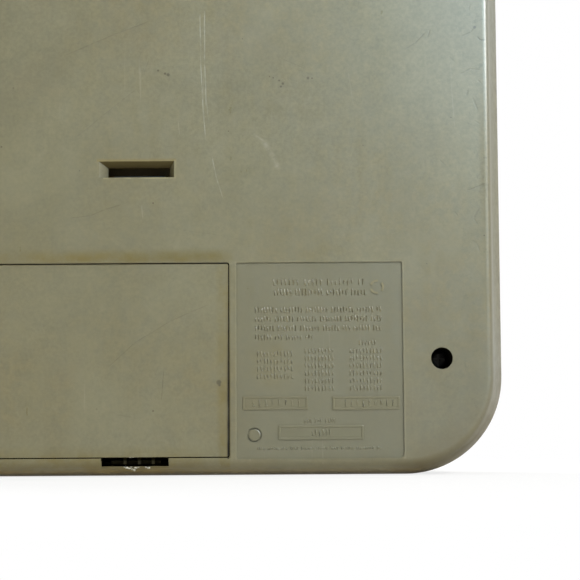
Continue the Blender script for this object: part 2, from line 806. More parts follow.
class BackPlastic(AgedPlastic):
    """The same plastic on the back, with its own marks. As it stands it is the door's."""

    fine_amount = 0.46
    on_door = True
    notch_dirt = 0.985

    def tone(self):
        """Adds handling mottle. x, y and z are in metres, x_mm and z_mm in millimetres."""
        self.x, self.y, self.z = self.xyz()
        super().tone()
        blotch = self.noise(120.0, detail=4.0, rough=0.65)
        self.tinge(blotch.fade(0.42, 0.62, to=(0.0, 0.50)), (0.86, 0.85, 0.82))
        blotch = self.noise(33.0)
        self.tinge(blotch.fade(0.42, 0.62, to=(0.0, 0.42)), (1.12, 1.13, 1.13))
        # light and dark grain
        worn = self.grain_strength()
        small = (self.noise(900.0, rough=0.65).fade(0.38, 0.62, to=(1.0, -1.0))
                 * self.math("MULTIPLY", worn, 0.070))
        large = (self.noise(260.0, rough=0.6).fade(0.38, 0.62, to=(1.0, -1.0))
                 * self.math("MULTIPLY", worn, 0.035))
        self.layer(1.0, 1.0 + (small + large), blend="MULTIPLY")
        # pale, slightly feathered rubs a few millimetres across
        rub = self.noise(75.0, detail=5.0, rough=0.72, dist=1.6).fade(0.56, 0.72)
        self.tinge(rub, (1.26, 1.27, 1.30), amount=0.30)

    def grain_strength(self):
        return 0.70

    def moulded_surface(self):
        super().moulded_surface()
        self.rough = self.rough + self.fine.fade(0.38, 0.64, to=(-0.03, 0.05))

    def face_marks(self):
        flat = self.node("CombineXYZ")
        self.put(flat.inputs[0], self.x)
        self.put(flat.inputs[2], self.z)
        # hair-fine wander, so no scratch is dead straight
        wander = self.vmath("SUBTRACT", self.noise(60.0, detail=2.0, out=1), (0.5, 0.5, 0.5))
        wander = self.vmath("SCALE", wander, scale=0.0009)
        moved = self.vmath("ADD", flat.outputs[0], wander)
        self.flat = self.vmath("MULTIPLY", moved, (1, 0, 1))
        self.on_back = self.y.fade(0.0095, 0.0105)
        self.x_mm, self.z_mm = self.x * TO_MM, self.z * TO_MM
        light, dark = self.scratch_masks()
        self.stains()
        specks = self.specks()
        self.edge_marks()
        self.tinge(dark, (0.38, 0.34, 0.28), amount=0.60)
        self.layer(light, (0.62, 0.62, 0.55), amount=0.55)
        self.layer(specks, (0.055, 0.045, 0.028), amount=0.72)
        # scratches are rougher and sunk
        self.rough = self.math("ADD", self.rough, (light + dark) * 0.10, clamp=True)
        self.height = self.height - (light * 3.0 + dark * 2.2) * 1.0
        self.gap_dirt()
        self.hollow_dirt()

    def scratch_masks(self):
        broken = self.noise(300.0, detail=2.0).fade(0.40, 0.56, to=(0.28, 1.0))
        lights = [line for line in LIGHT_SCRATCHES if in_door(line[0]) == self.on_door]
        darks = [line for line in DARK_SCRATCHES if in_door(line[0]) == self.on_door]
        dark = (strokes(self, self.flat, darks)
                * (self.on_back * broken.fade(0.0, 1.0, to=(0.45, 1.0))))
        if lights:
            light = strokes(self, after(self, self.flat, dark), lights) * (self.on_back * broken)
        else:
            light = dark * 0.0001
        return light, dark

    def stains(self):
        """Brown dirt along the door's edges, and patches of age."""
        x, z = self.x_mm, self.z_mm
        above = z.fade(61.3, 62.6, smooth=True) * z.fade(66.5, 62.8, smooth=True)
        above = above * (x.fade(-28.5, -24.0) * x.fade(84.0, 78.0))
        low_x = x.fade(-22.3, -24.6, smooth=True) * (x.fade(-27.2, -26.6) * z.fade(62.0, 60.0))
        low_z = z.fade(9.5, 4.5, smooth=True) * x.fade(-26.0, -10.0, to=(0.25, 1.0))
        high_x = x.fade(77.0, 79.0, smooth=True) * x.fade(82.0, 80.5) * z.fade(63.0, 61.5)
        self.patchy = self.noise(150.0, detail=4.0, rough=0.7).fade(0.36, 0.60)
        stain = (above * 0.95).max(low_x * 0.75)
        stain = stain.max(low_z * 0.78)
        stain = stain.max(high_x * 0.6)
        stain = stain * self.patchy.fade(0, 1, to=(0.25, 1.0)) * self.on_back
        self.tinge(stain, (0.84, 0.68, 0.26), amount=0.84)
        self.tinge(above * self.on_back * x.fade(12.0, -8.0, to=(0.0, 0.36)), (0.60, 0.50, 0.12))
        # brown halo on the door's low-x and upper seams, near black in the middle of the first
        halo = abs(x + 26.45).fade(0.75, 0.22) * z.fade(61.0, 12.0, to=(0.20, 0.90))
        halo = halo * z.band(33.3, half=28.2)
        seam = abs(z - 61.45).fade(0.60, 0.20) * x.band(26.5, half=53.2)
        halo = halo.max(seam * 0.55)
        self.tinge(halo * self.on_back, (0.36, 0.27, 0.10), amount=0.95)
        core = abs(x + 26.33).fade(0.30, 0.14) * z.fade(52.0, 10.0)
        self.layer(core * self.on_back * z.band(33.3, half=28.4), (0.014, 0.010, 0.003))
        # rosy patches of age
        age = self.noise(26.0, rough=0.6, dist=0.4).fade(0.54, 0.72)
        self.tinge(age, (1.02, 0.86, 0.78), amount=0.26)

    def specks(self):
        specks = None
        for x, z, radius in SPECKS:
            if in_door([(x, z)]) != self.on_door:
                continue
            where = after(self, self.flat, specks)
            distance = self.vmath("DISTANCE", where, (x * MM, 0, z * MM))
            speck = distance.fade(radius * 0.45 * MM, radius * MM, to=(1.0, 0.0), smooth=True)
            specks = speck if specks is None else specks.max(speck)
        tiny = self.voronoi(150.0).fade(0.055, 0.03) * self.noise(24.0, 1.0).fade(0.50, 0.62)
        return specks.max(tiny * 0.55) * self.on_back

    def edge_marks(self):
        """Nothing on the door."""

    def gap_dirt(self):
        """Black dirt in the gap round the door and in the latch notches."""
        x, y, z = self.x_mm, self.y, self.z_mm
        across = x.fade(-26.15, -26.25).max(x.fade(79.1, 79.2))
        upright = z.fade(5.72, 5.62).max(z.fade(61.05, 61.15))
        upright = upright * z.fade(60.9, 61.0, to=(1.0, 0.40))
        ring = across.max(upright) * y.fade(0.01990, 0.01965)
        gap = ring * (x.band(26.5, half=53.6) * z.band(33.3, half=28.8))
        notch = y.fade(0.0186, 0.0180) * z.band(4.6, half=2.2)
        notch = notch * x.band(LATCH_X[0], half=9.8).max(x.band(LATCH_X[1], half=9.8))
        self.dirt = gap.max(notch * self.notch_dirt)

    def hollow_dirt(self):
        """Nothing on the door."""

    def last_shades(self):
        self.layer(self.dirt, (0.010, 0.0085, 0.004), amount=0.97)

    def specular(self):
        return (1.0 - self.dirt) * 0.44


class ShellPlastic(BackPlastic):
    """The rear shell's plastic: edges, slot, screw holes and sunk label as well."""

    on_door = False
    notch_dirt = 1.0

    def grain_strength(self):
        """More towards low x, less low down; in metres."""
        x, _, z = self.xyz()
        return x.fade(0.010, -0.090, to=(0.80, 1.22)) * z.fade(0.045, 0.098, to=(0.46, 1.0))

    def edge_marks(self):
        x, y, z = self.x_mm, self.y, self.z_mm
        # nicks near the low-x edge
        near_edge = x.fade(-86.0, -98.0) * x.fade(-103.2, -102.4)
        nicks = self.noise(230.0, detail=5.0, rough=0.78, dist=0.5).fade(0.585, 0.66)
        self.tinge(nicks * (near_edge * self.on_back), (0.50, 0.49, 0.46), amount=0.42)
        # the bevel is rubbed paler and greyer, most of all near its rearmost edge
        bevel = y.fade(0.0146, 0.0184) * (y.fade(0.0196, 0.0192) * abs(x).fade(101.0, 102.2))
        self.tinge(bevel * z.fade(20.0, 32.0), (1.14, 1.15, 1.34), amount=0.75)
        crest = y.fade(0.0172, 0.0182) * y.fade(0.0194, 0.0190) * z.fade(24.0, 40.0)
        self.tinge(crest * abs(x).fade(101.0, 102.0), (1.34, 1.34, 1.50), amount=0.80)
        dull = abs(x).fade(99.5, 101.0) * (z.fade(116.0, 94.0, to=(0.0, 0.42)) * z.fade(44.0, 84.0))
        # the rounded lower corners are browned, by distance from each corner's centre
        out_x = abs(x) - 78.4
        out_z = CORNER_R - z
        distance = (out_x.max(0.0) * out_x + out_z.max(0.0) * out_z).sqrt()
        corner = z.fade(32.0, 16.0) * abs(x).fade(72.0, 82.0)
        grubby = distance.fade(16.5, 23.0) * corner * self.patchy.fade(0.0, 1.0, to=(0.45, 1.0))
        self.tinge(grubby, (0.90, 0.79, 0.66), amount=0.42)
        turn = distance.fade(23.6, 26.4) * corner
        self.tinge(turn, (0.60, 0.51, 0.38), amount=0.66)
        self.dull = dull.max(turn * 0.85)

    def hollow_dirt(self):
        """The slot and the lower screw holes are dark inside, the slot's lips are rubbed."""
        x, y, z = self.x_mm, self.y, self.z_mm
        slot = x.band(0.0, half=12.0) * z.band(89.3, half=2.5)
        slot = slot * y.fade(0.0198, 0.0172)
        facing_x, facing_y, facing_z = self.xyz(self.output("NewGeometry", "Normal"))
        mouth = x.band(0.0, half=12.0) * z.band(89.3, half=2.5) * facing_y.below(0.93)
        roof = mouth * facing_z.below(-0.25)
        side = mouth * facing_x.above(0.25)
        rim = x.band(0.3, half=11.6) * (z.fade(91.55, 91.6) * z.fade(92.6, 91.9))
        self.tinge(rim, (1.10, 0.93, 0.56), amount=0.8)
        lip = x.band(-0.6, half=10.6) * z.band(86.62, half=0.26)
        lip = lip.max(x.band(-11.05, half=0.34) * z.band(89.4, half=2.6))
        lip = lip.max(x.band(11.6, half=0.3) * z.band(89.8, half=1.8))
        lip = lip * self.noise(210.0, rough=0.6).fade(0.36, 0.58, to=(0.15, 0.85))
        self.tinge(lip, (1.42, 1.38, 1.24))
        self.layer(roof, (0.085, 0.062, 0.016), amount=0.86)
        self.layer(side, (0.12, 0.09, 0.028), amount=0.45)
        self.dirt = self.dirt.max(slot * 0.42)
        hole = abs(x).above(84.0) * abs(x).below(92.5)
        hole = hole * (z.band(33.4, half=3.3) * y.fade(0.0199, 0.0190))
        self.dirt = self.dirt.max(hole * 0.96)

    def corner_grime(self):
        """Little of it in the sunk label."""
        return super().corner_grime() * self.x_mm.fade(-28.6, -28.2, to=(0.12, 1.0))

    def last_shades(self):
        x, y, z = self.x_mm, self.y, self.z_mm
        # the sunk label is slightly greyer, with pale side walls and one golden patch
        sunk = x.band(-52.85, half=24.1) * (z.band(33.2, half=28.3) * y.fade(0.01975, 0.01965))
        self.tinge(sunk, (0.865, 0.88, 0.91), amount=0.66)
        walls = x.band(-28.62, half=0.22).max(x.band(-77.15, half=0.30)) * z.band(33.2, half=28.6)
        self.tinge(walls, (1.30, 1.29, 1.30), amount=0.42)
        golden = self.vmath("DISTANCE", self.flat, (-39.5 * MM, 0, 31.5 * MM))
        golden = (golden.fade(4.0 * MM, 9.5 * MM, to=(1.0, 0.0))
                  * self.patchy.fade(0.0, 1.0, to=(0.4, 1.0)))
        self.tinge(golden, (0.98, 0.87, 0.56), amount=0.34)
        # the rolled lower edge is grubby, browner at its middle, and lighter at its foot
        rolled = z.fade(4.6, 0.6) * y.fade(0.0080, 0.0120)
        self.tinge(rolled, (0.66, 0.50, 0.24), amount=0.40)
        middle = z.fade(3.2, 2.2) * z.fade(0.2, 1.2) * (x.fade(-9.0, -5.0) * x.fade(16.0, 11.0))
        self.tinge(middle, (0.92, 0.72, 0.26), amount=0.55)
        foot = z.fade(2.0, 0.9) * abs(x).below(82.0)
        self.layer(foot, (1.42, 1.32, 1.22), blend="MULTIPLY")
        # cooler, a little darker low down and chalky high up towards low x
        self.layer(x.fade(-25.0, -88.0), (0.975, 0.985, 1.035), blend="MULTIPLY")
        shade = x.fade(-76.0, -82.0) * z.fade(74.0, 30.0)
        self.layer(shade, (0.955, 0.960, 0.985), blend="MULTIPLY")
        chalk = x.fade(-72.0, -103.0) * z.fade(84.0, 138.0)
        self.layer(chalk, (0.40, 0.44, 0.44), amount=0.16)
        super().last_shades()

    def specular(self):
        return super().specular() * (1.0 - self.dull)


# ------------------------------------------------------------------ shared plain materials
def plain_plastic(name, base, rough, wear, mottling=0.06):
    mat = Mat(name)
    broad, fine = mat.noise(28.0), mat.noise(520.0, detail=2.0)
    mat.mottle(broad, times(base, 1 - mottling), [min(1, c * (1 + mottling)) for c in base])
    mat.layer(fine.fade(0.55, 0.75, to=(0, 0.12)), times(base, 0.7))
    mat.layer(mat.occlusion(0.001).fade(0.8, 0.4, to=(0.0, 0.5 * wear)), times(base, 0.35))
    edges = mat.outer_edges(0.52, 0.58, scale=140.0, detail=2.0)
    mat.layer(edges, [min(1, c * 1.5 + 0.03) for c in base], amount=0.35 * wear)
    height = mat.noise(1400.0, detail=2.0) + mat.noise(300.0, detail=2.0) * 0.5
    return mat.finish(rough=broad.fade(0.3, 0.7, to=(rough - 0.04, rough + 0.05)), spec=0.45,
                      normal=mat.bump(height, strength=0.25, distance=0.00005))


def metal(name, base, rough):
    mat = Mat(name)
    brushed = mat.noise(900.0, rough=0.6, vec=mat.scaled(1, 1, 1))
    blotch = mat.noise(90.0, detail=4.0, rough=0.6)
    mat.mottle(brushed, times(base, 0.86), base)
    mat.layer(blotch.fade(0.5, 0.75, to=(0, 0.3)), times(base, 0.45))
    return mat.finish(metal=1.0, rough=blotch.fade(0.3, 0.7, to=(rough - 0.06, rough + 0.14)),
                      normal=mat.bump(brushed, strength=0.12, distance=0.00004))


OLIVE = srgb(126, 123, 99)
MAT_BACK = ShellPlastic("olive_abs_back", OLIVE).build()
MAT_DOOR = BackPlastic("olive_abs_door", OLIVE).build()
MAT_CASE = AgedPlastic("olive_abs_front", OLIVE).build()
MAT_RELIEF = AgedPlastic("olive_abs_relief", times(OLIVE, 1.10), wear=0.10, grain=0.5).build()
MAT_PADS = AgedPlastic("olive_abs_pads", times(OLIVE, 0.90, 0.915, 0.945),
                       wear=0.10, grain=0.5).build()
MAT_DARK = plain_plastic("charcoal_panel", (0.030, 0.028, 0.026), rough=0.42, wear=0.6)
MAT_STEEL = metal("plated_steel", (0.62, 0.62, 0.59), rough=0.28)
MAT_SCREW = metal("blackened_screw", (0.050, 0.048, 0.044), rough=0.50)


# ------------------------------------------------------------------ rear casing
# the slot in the back: its hole, and the wider mouth it flares to at the surface
SLOT_HOLE, SLOT_MOUTH = (-8.9, 8.05, 87.05, 89.5), (-10.72, 11.3, 86.83, 91.62)


def funnel(name, low, low_y, high, high_y):
    """Body between two rectangles."""
    verts = []
    for (x0, x1, z0, z1), y in ((low, low_y), (high, high_y)):
        verts += [(x0, y, z0), (x1, y, z0), (x1, y, z1), (x0, y, z1)]
    return mesh_obj(name, verts, [(0, 3, 2, 1), (4, 5, 6, 7), (0, 1, 5, 4), (1, 2, 6, 5),
                                  (2, 3, 7, 6), (3, 0, 4, 7)])


def handle_ring(name, grow, y0, y1):
    return prism(name, rrect(*grown(HANDLE, grow), HANDLE_R + grow, 14), y0, y1)


def lower_edge(y):
    """The lower edge is rolled instead of bevelled: a quarter ellipse 12 mm deep."""
    share = min(1.0, max(0.0, (y - 8.0) / 12.0))
    return LOW_R * (1 - math.sqrt(max(0.0, 1 - share * share)))


def rear_levels():
    corners = [(REAR_EDGE, 0.0), (10.6, 0.0), (BACK_Y, BEVEL), (BACK_Y, BEVEL + 2.6)]
    profile = fillet_profile(corners, radii=[3.4, 2.3], steps=7)
    profile = [(REAR_EDGE, RIM), (REAR_EDGE + RIM, 0.0)] + profile[1:-1]
    levels = []
    for i, (y, inset) in enumerate(profile):
        levels.append((y, inset, max(lower_edge(y), inset if i == 0 else 0.0)))
        if i + 1 == len(profile):
            break
        next_y, next_inset = profile[i + 1]
        # more levels, to follow the rolled lower edge
        for extra in (13.0, 15.0, 16.8, 18.2, 19.15, 19.6, 19.85):
            if y + 0.02 < extra < next_y - 0.02:
                share = (extra - y) / (next_y - y)
                levels.append((extra, inset + (next_inset - inset) * share, lower_edge(extra)))
    return levels


def build_rear():
    shell = casing_loft("rear_shell", rear_levels(), 28, tapered=True)
    inner = [(PART_Y - 1, WALL), (10.2, WALL), (17.6, WALL + 4.1)]
    cut(shell, casing_loft("cavity", inner, 28, tapered=True))
    x0, x1, z0, z1 = TRAY
    weld(shell, box("tray", x0 - 1.3, x1 + 1.3, TRAY_FLOOR - 1.3, 17.8, z0 - 1.2, z1 + 1.3))
    ring = handle_ring("ring", WALL, REAR_EDGE, 30)
    limits = [(REAR_EDGE, 0.6), (10.4, 0.6), (BACK_Y - 0.9, 5.0)]
    boolean(ring, casing_loft("limit", limits, 10, tapered=True), "INTERSECT")
    weld(shell, ring)
    for x, z in SCREWS:
        weld(shell, bar_y("boss", x, z, 4.9, REAR_EDGE, BACK_Y - taper(z) - 1.2, 28))
    cut(shell,
        box("cutter", x0, x1, TRAY_FLOOR, 18.0, z0, z1),
        prism("cutter", rrect(*OPENING, 0.75, 5), 17.6, 24),
        prism("cutter", rrect(*LABEL, (0.6, 0.6, 0.6, 1.6), 5), LABEL_Y, 24),
        handle_ring("cutter", 0, -1, 30),
        funnel("cutter", SLOT_HOLE, 16.9, SLOT_MOUTH, BACK_Y + 0.02),
        box("cutter", *SLOT_HOLE[:2], 15.0, 17.2, *SLOT_HOLE[2:]))
    for x, z in SCREWS:
        cut(shell, bar_y("bore", x, z, BORE_R, SEAT_Y, 30, 40), bar_y("bore", x, z, 1.9, 0, 12, 24))
    for x in LATCH_X:
        cut(shell, box("notch", x - NOTCH_W / 2, x + NOTCH_W / 2, 13.0, 24, *NOTCH_Z),
            box("notch", x - 8.4, x + 8.4, 13.0, 18.2, 4.4, 6.4))
    for x in TAB_X:
        cut(shell, box("pocket", x - 6.2, x + 6.2, 14.8, 17.6, 58, 64))
    # round recess of the ejector mark in the label
    cut(shell, turned_y("mark", [(0, 18.9), (2.15, 18.9), (2.15, 24), (0, 24)], *EJECTOR, 40))
    clean(shell)
    soften(shell, 0.16, 2)
    paint(shell, MAT_BACK)
    register(shell, replaces="rear_casing")


build_rear()

# ------------------------------------------------------------------ relief in the sunk label
# rows of bars: z0, z1, start x, end x, pitch, bars to a word
LABEL_ROWS = [
    (54.9, 56.7, -39.4, -66.8, 1.16, (5, 9)), (51.9, 53.9, -39.7, -66.7, 0.92, (6, 9)),
    (46.95, 48.6, -34.2, -71.0, 0.84, (3, 8)), (44.3, 45.95, -34.2, -71.0, 0.84, (3, 8)),
    (41.6, 43.25, -34.2, -71.4, 0.84, (3, 8)), (38.95, 40.6, -34.2, -51.5, 0.84, (3, 8)),
    (15.05, 16.35, -48.2, -57.6, 0.80, (3, 4)), (7.25, 8.2, -34.6, -70.5, 0.66, (3, 8)),
]
# columns of unbroken rows: start x, end x, top z, rows
LABEL_COLUMNS = [(-34.7, -45.7, 35.8, 4), (-48.5, -57.6, 36.6, 6), (-61.5, -70.9, 36.6, 6)]
UNBROKEN = (30, 40)
# name-plate pads: x0, x1, z0, z1
PADS = [(-49.4, -30.5, 18.8, 22.75), (-75.9, -56.3, 18.65, 22.6), (-65.3, -40.7, 10.15, 14.35)]
# bars on the pads: start x, end x, z0, z1, pitch
PAD_ROWS = [(-33.2, -47.6, 19.75, 21.75, 1.9), (-60.0, -74.4, 19.6, 21.6, 1.7),
            (-50.4, -56.6, 11.2, 13.2, 1.0)]
PAD_RISE = 0.16


def pill(x0, x1, z0, z1, height, rise):
    """Small raised bar with a chamfered top, sunk a little into its ground."""
    chamfer = min(0.13, (x1 - x0) * 0.4, (z1 - z0) * 0.4)
    corner = min((x1 - x0), (z1 - z0)) * 0.28

    def octagon(inset):
        a0, a1, b0, b1 = x0 + inset, x1 - inset, z0 + inset, z1 - inset
        return [(a0 + corner, b0), (a1 - corner, b0), (a1, b0 + corner), (a1, b1 - corner),
                (a1 - corner, b1), (a0 + corner, b1), (a0, b1 - corner), (a0, b0 + corner)]

    # on a pad the foot is sunk once more
    foot = -0.05 + rise - (0.05 if rise else 0)
    return layered([(octagon(0), LABEL_Y + foot), (octagon(0), LABEL_Y + height * 0.32 + rise),
                    (octagon(chamfer), LABEL_Y + height * 0.86 + rise)])


def pill_row(draws, start, end, z0, z1, height, pitch, word, rise=0.0):
    """Letter-free bars from start down to end in x, broken into words."""
    bars = []
    x = start
    left = draws.randint(*word)
    tall = z1 - z0
    while x - 0.5 > end:
        kind = draws.random()
        width = draws.choice((0.30, 0.34, 0.38))
        low = z0 + (0 if draws.random() < 0.8 else tall * 0.22)
        high = z1 - (0 if draws.random() < 0.6 else tall * 0.24)
        bars.append(pill(x - width, x, low, high, height, rise))
        if kind > 0.45:
            foot = z0 + tall * draws.choice((0.0, 0.0, 0.38, 0.6))
            bars.append(pill(x - width - 0.28, x - width + 0.06, foot, foot + tall * 0.26,
                             height * 0.9, rise))
        x -= pitch
        left -= 1
        if left <= 0:
            x -= pitch * 0.8
            left = draws.randint(*word)
    return bars


def ring_mark():
    """A ring of three arcs at the header's end."""
    bodies = []
    for k in range(3):
        start = math.radians(20 + 120 * k)
        end = start + math.radians(80)
        outer = arc(-69.6, 54.3, 2.1, start, end, 10)
        inner = arc(-69.6, 54.3, 1.45, start, end, 10)
        loop = outer + inner[::-1]
        bodies.append(layered([(loop, LABEL_Y - 0.05), (loop, LABEL_Y + 0.22)]))
    return bodies


def label_relief():
    draws = random.Random(7)
    bodies = []
    for z0, z1, start, end, pitch, word in LABEL_ROWS:
        height = 0.17 if z1 - z0 > 1.4 else 0.13
        bodies += pill_row(draws, start, end, z0, z1, height, pitch, word)
    for start, end, top, rows in LABEL_COLUMNS:
        for k in range(rows):
            z1 = top - k * 2.16
            bodies += pill_row(draws, start, end, z1 - 1.55, z1, 0.15, 0.98, UNBROKEN)
    bodies += pill_row(draws, -64.2, -69.4, 37.4, 38.8, 0.15, 0.9, UNBROKEN)
    for start, end, z0, z1, pitch in PAD_ROWS:
        bodies += pill_row(draws, start, end, z0, z1, 0.13, pitch, UNBROKEN, rise=PAD_RISE)
    return lofts("label_relief", bodies + ring_mark())


def label_pads():
    """Pads with a raised rim, and the disc of the ejector mark."""
    # inset, corner radius, height over the label
    steps = [(0, 0.25, -0.05), (0, 0.25, 0.20), (0.14, 0.25, 0.32), (0.55, 0.2, 0.32),
             (0.68, 0.2, 0.16)]
    bodies = [layered([(rrect(*grown(pad, -inset), radius, 3), LABEL_Y + height)
                       for inset, radius, height in steps]) for pad in PADS]
    foot, top = circle(*EJECTOR, 1.7, 28), circle(*EJECTOR, 1.5, 28)
    bodies.append(layered([(foot, 18.8), (foot, LABEL_Y - 0.18), (top, LABEL_Y - 0.08)]))
    return lofts("label_pads", bodies)


for make, material in ((label_relief, MAT_RELIEF), (label_pads, MAT_PADS)):
    relief = make()
    smooth(relief, 25)
    paint(relief, material)
    register(relief)


# ------------------------------------------------------------------ battery door
def build_door():
    x0, x1, z0, z1 = OPENING
    panel = rrect(x0 + GAP, x1 - GAP, z0 + GAP * 0.9, z1 - GAP, 0.5, 5)
    door = prism("door_panel", panel, BACK_Y - DOOR_T, BACK_Y)
    for x in TAB_X:
        weld(door, box("tab", x - 5, x + 5, 15.7, 17.2, 58.2, 62.9),
             box("tab", x - 5, x + 5, 15.7, 18.6, 58.2, 59.8))
    for x in LATCH_X:
        weld(door, box("latch", x - 7.2, x + 7.2, 13.6, 17.0, 3.5, 4.6))
        for offset in (-5.1, -1.1, 3.0):
            middle = x + offset
            weld(door, box("rib", middle - 0.45, middle + 0.45, 14.6, 18.1, 3.5, 7.0))
    for x in (-8, 26.5, 61):
        weld(door, box("rib", x - 0.6, x + 0.6, 17.55, 18.6, 10, 56))
    for z in (22, 44):
        weld(door, box("rib", -22, 75, 17.62, 18.6, z - 0.5, z + 0.5))
    clean(door)
    soften(door, 0.28, 3)
    paint(door, MAT_DOOR)
    register(door, replaces="battery_door", rides="battery_door")


build_door()

# stress-whitened chips at the latch notch near x = 0: x, z, half width, half height
NOTCH_CHIPS = [
    (2.9, 2.55, 0.50, 0.30), (2.1, 2.30, 0.42, 0.26), (1.3, 2.05, 0.40, 0.30),
    (0.7, 1.85, 0.42, 0.36), (0.4, 2.5, 0.52, 0.26), (-0.4, 2.62, 0.34, 0.16),
    (3.6, 2.72, 0.30, 0.14), (-3.4, 2.48, 0.52, 0.30), (-2.7, 2.66, 0.34, 0.16),
    (1.6, 2.70, 0.40, 0.16),
]
DOOR_CHIPS = [(1.9, 5.62, 0.62, 0.26), (1.0, 5.60, 0.40, 0.2), (-0.2, 5.62, 0.3, 0.15)]


def build_chips(name, seed, spots, y, depth):
    """Rough pebbles centred at y, with the given half depth."""
    draws = random.Random(seed)
    verts, faces = [], []
    for x, z, width, height in spots:
        ball = bmesh.new()
        bmesh.ops.create_icosphere(ball, subdivisions=2, radius=1.0)
        for vert in ball.verts:
            swell = 1 + 0.28 * (draws.random() - 0.5)
            vert.co = Vector((x + vert.co.x * width * swell, y + vert.co.y * depth * swell,
                              z + vert.co.z * height * swell))
        start = len(verts)
        ball.verts.index_update()
        verts.extend(tuple(vert.co) for vert in ball.verts)
        faces.extend(tuple(start + vert.index for vert in face.verts) for face in ball.faces)
        ball.free()
    chips = mesh_obj(name, verts, faces)
    smooth(chips, 60)
    return chips


def chip_material():
    mat = Mat("stress_white")
    drift = mat.noise(700.0).fade(0.35, 0.65)
    mat.colour = mat.mix(drift, (0.62, 0.60, 0.50), (0.40, 0.38, 0.28))
    return mat.finish(rough=0.6, normal=mat.bump(mat.noise(1800.0), strength=0.6, distance=0.0001))


MAT_CHIPS = chip_material()
notch_chips = build_chips("notch_chips", 11, NOTCH_CHIPS, y=19.25, depth=0.55)
paint(notch_chips, MAT_CHIPS)
register(notch_chips)
door_chips = build_chips("door_chips", 5, DOOR_CHIPS, y=19.62, depth=0.36)
paint(door_chips, MAT_CHIPS)
register(door_chips, rides="battery_door")


# ------------------------------------------------------------------ front casing
def build_front():
    corners = [(FRONT_Y, 6.0), (FRONT_Y, 1.1), (-18.9, 0.0), (FRONT_EDGE, 0.0)]
    profile = fillet_profile(corners, radii=[1.2, 1.6], steps=5)
    profile = profile[1:-1] + [(FRONT_EDGE - RIM, 0.0), (FRONT_EDGE, RIM)]
    shell = casing_loft("front_shell", profile, 28, tapered=False)
    inner = [(FRONT_Y + WALL, 3.4), (-16.0, WALL), (PART_Y + 1, WALL)]
    cut(shell, casing_loft("cavity", inner, 28, tapered=False))
    weld(shell, handle_ring("ring", WALL, -18.5, FRONT_EDGE))
    for x, z in SCREWS:
        weld(shell, bar_y("boss", x, z, 4.4, -18.4, FRONT_EDGE, 24))
    cut(shell,
        handle_ring("cutter", 0, -30, 30),
        prism("cutter", rrect(*KEYPAD, KEYPAD_R, 12), -30, -17.0),
        prism("cutter", rrect(*WINDOW, WINDOW_R, 8), -30, -18.4),
        prism("cutter", rrect(*grown(WINDOW, -3), 1.5, 6), -30, -16),
        bar_y("cutter", SPK_X, SPK_Z, SPK_R, -30, -16, 72),
        along_x("cutter", circle(JACK_Y, ADAPTER_Z, 4.3, 36), -112, -100),
        along_x("cutter", circle(JACK_Y, EARPHONE_Z, 3.3, 36), -112, -100))
    for x, z in SCREWS:
        cut(shell, bar_y("bore", x, z, 1.75, -15.2, 30, 20))
    # a shallow groove round the front face
    groove = prism("groove", rrect(-99.4, 99.4, 7.6, 282.4, 23.0, 20), -30, FRONT_Y + 0.45)
    island = rrect(-98.5, 98.5, 8.5, 281.5, 22.1, 20)
    cut(groove, prism("island", island, -31, FRONT_Y + 1.0))
    cut(shell, groove)
    clean(shell)
    soften(shell, 0.3, 3)
    paint(shell, MAT_CASE)
    register(shell, replaces="front_casing")


build_front()


# ------------------------------------------------------------------ keypad panel
def build_panel():
    panel = prism("keypad_frame", rrect(*grown(KEYPAD, -0.35), KEYPAD_R - 0.35, 10), -19.3, -16.9)
    x0, x1, z0, z1 = KEYPAD
    flange = rrect(x0 - 1.3, x1 + 1.3, z0 - 2.4, z1 + 2.4, KEYPAD_R, 8)
    weld(panel, prism("flange", flange, -17.3, -16.5))
    half_w, half_h = KEY_W / 2 + 0.4, KEY_H / 2 + 0.4
    holes = [prism("hole", rrect(x - half_w, x + half_w, z - half_h, z + half_h, KEY_R + 0.4, 6),
                   -25, -10) for z in KEY_Z for x in KEY_X]
    cut(panel, join("holes", holes))
    # a flat arm reaching back to the slot, with an upturned end
    weld(panel, box("arm", -7.5, 7.5, -16.9, 14.6, 84.3, 86.4),
         box("arm", -7.5, 7.5, 12.4, 14.6, 86.0, 88.2))
    clean(panel)
    soften(panel, 0.28, 3)
    paint(panel, MAT_DARK)
    register(panel, replaces="keypad_panel")


build_panel()

# ------------------------------------------------------------------ keys and their legends
KEY_CREAM = plain_plastic("key_cream_abs", srgb(214, 204, 170), 0.40, wear=0.7, mottling=0.04)
KEY_ORANGE = plain_plastic("key_orange_abs", srgb(196, 96, 40), 0.40, wear=0.7, mottling=0.05)
KEY_BLUE = plain_plastic("key_blue_abs", srgb(74, 104, 126), 0.40, wear=0.7, mottling=0.05)
INK_DARK = plain_plastic("legend_ink_dark", (0.018, 0.017, 0.016), 0.35, wear=0.0)
INK_PALE = plain_plastic("legend_ink_pale", (0.72, 0.69, 0.58), 0.4, wear=0.0)


def key_style(label, row):
    """Plastic, ink and slot of a key."""
    if label in ("equals", "power", "plus", "minus", "times", "divide"):
        return KEY_ORANGE, INK_PALE, "key_orange"
    if row == 0 or label in ("repeat", "hint"):
        return KEY_BLUE, INK_PALE, "key_blue"
    return KEY_CREAM, INK_DARK, "key_cream"


def dish(u, v):
    """Depth of the finger dish at (u, v) in -1..1."""
    return 0.42 * max(0.0, 1 - (u * u + v * v) * 0.62)


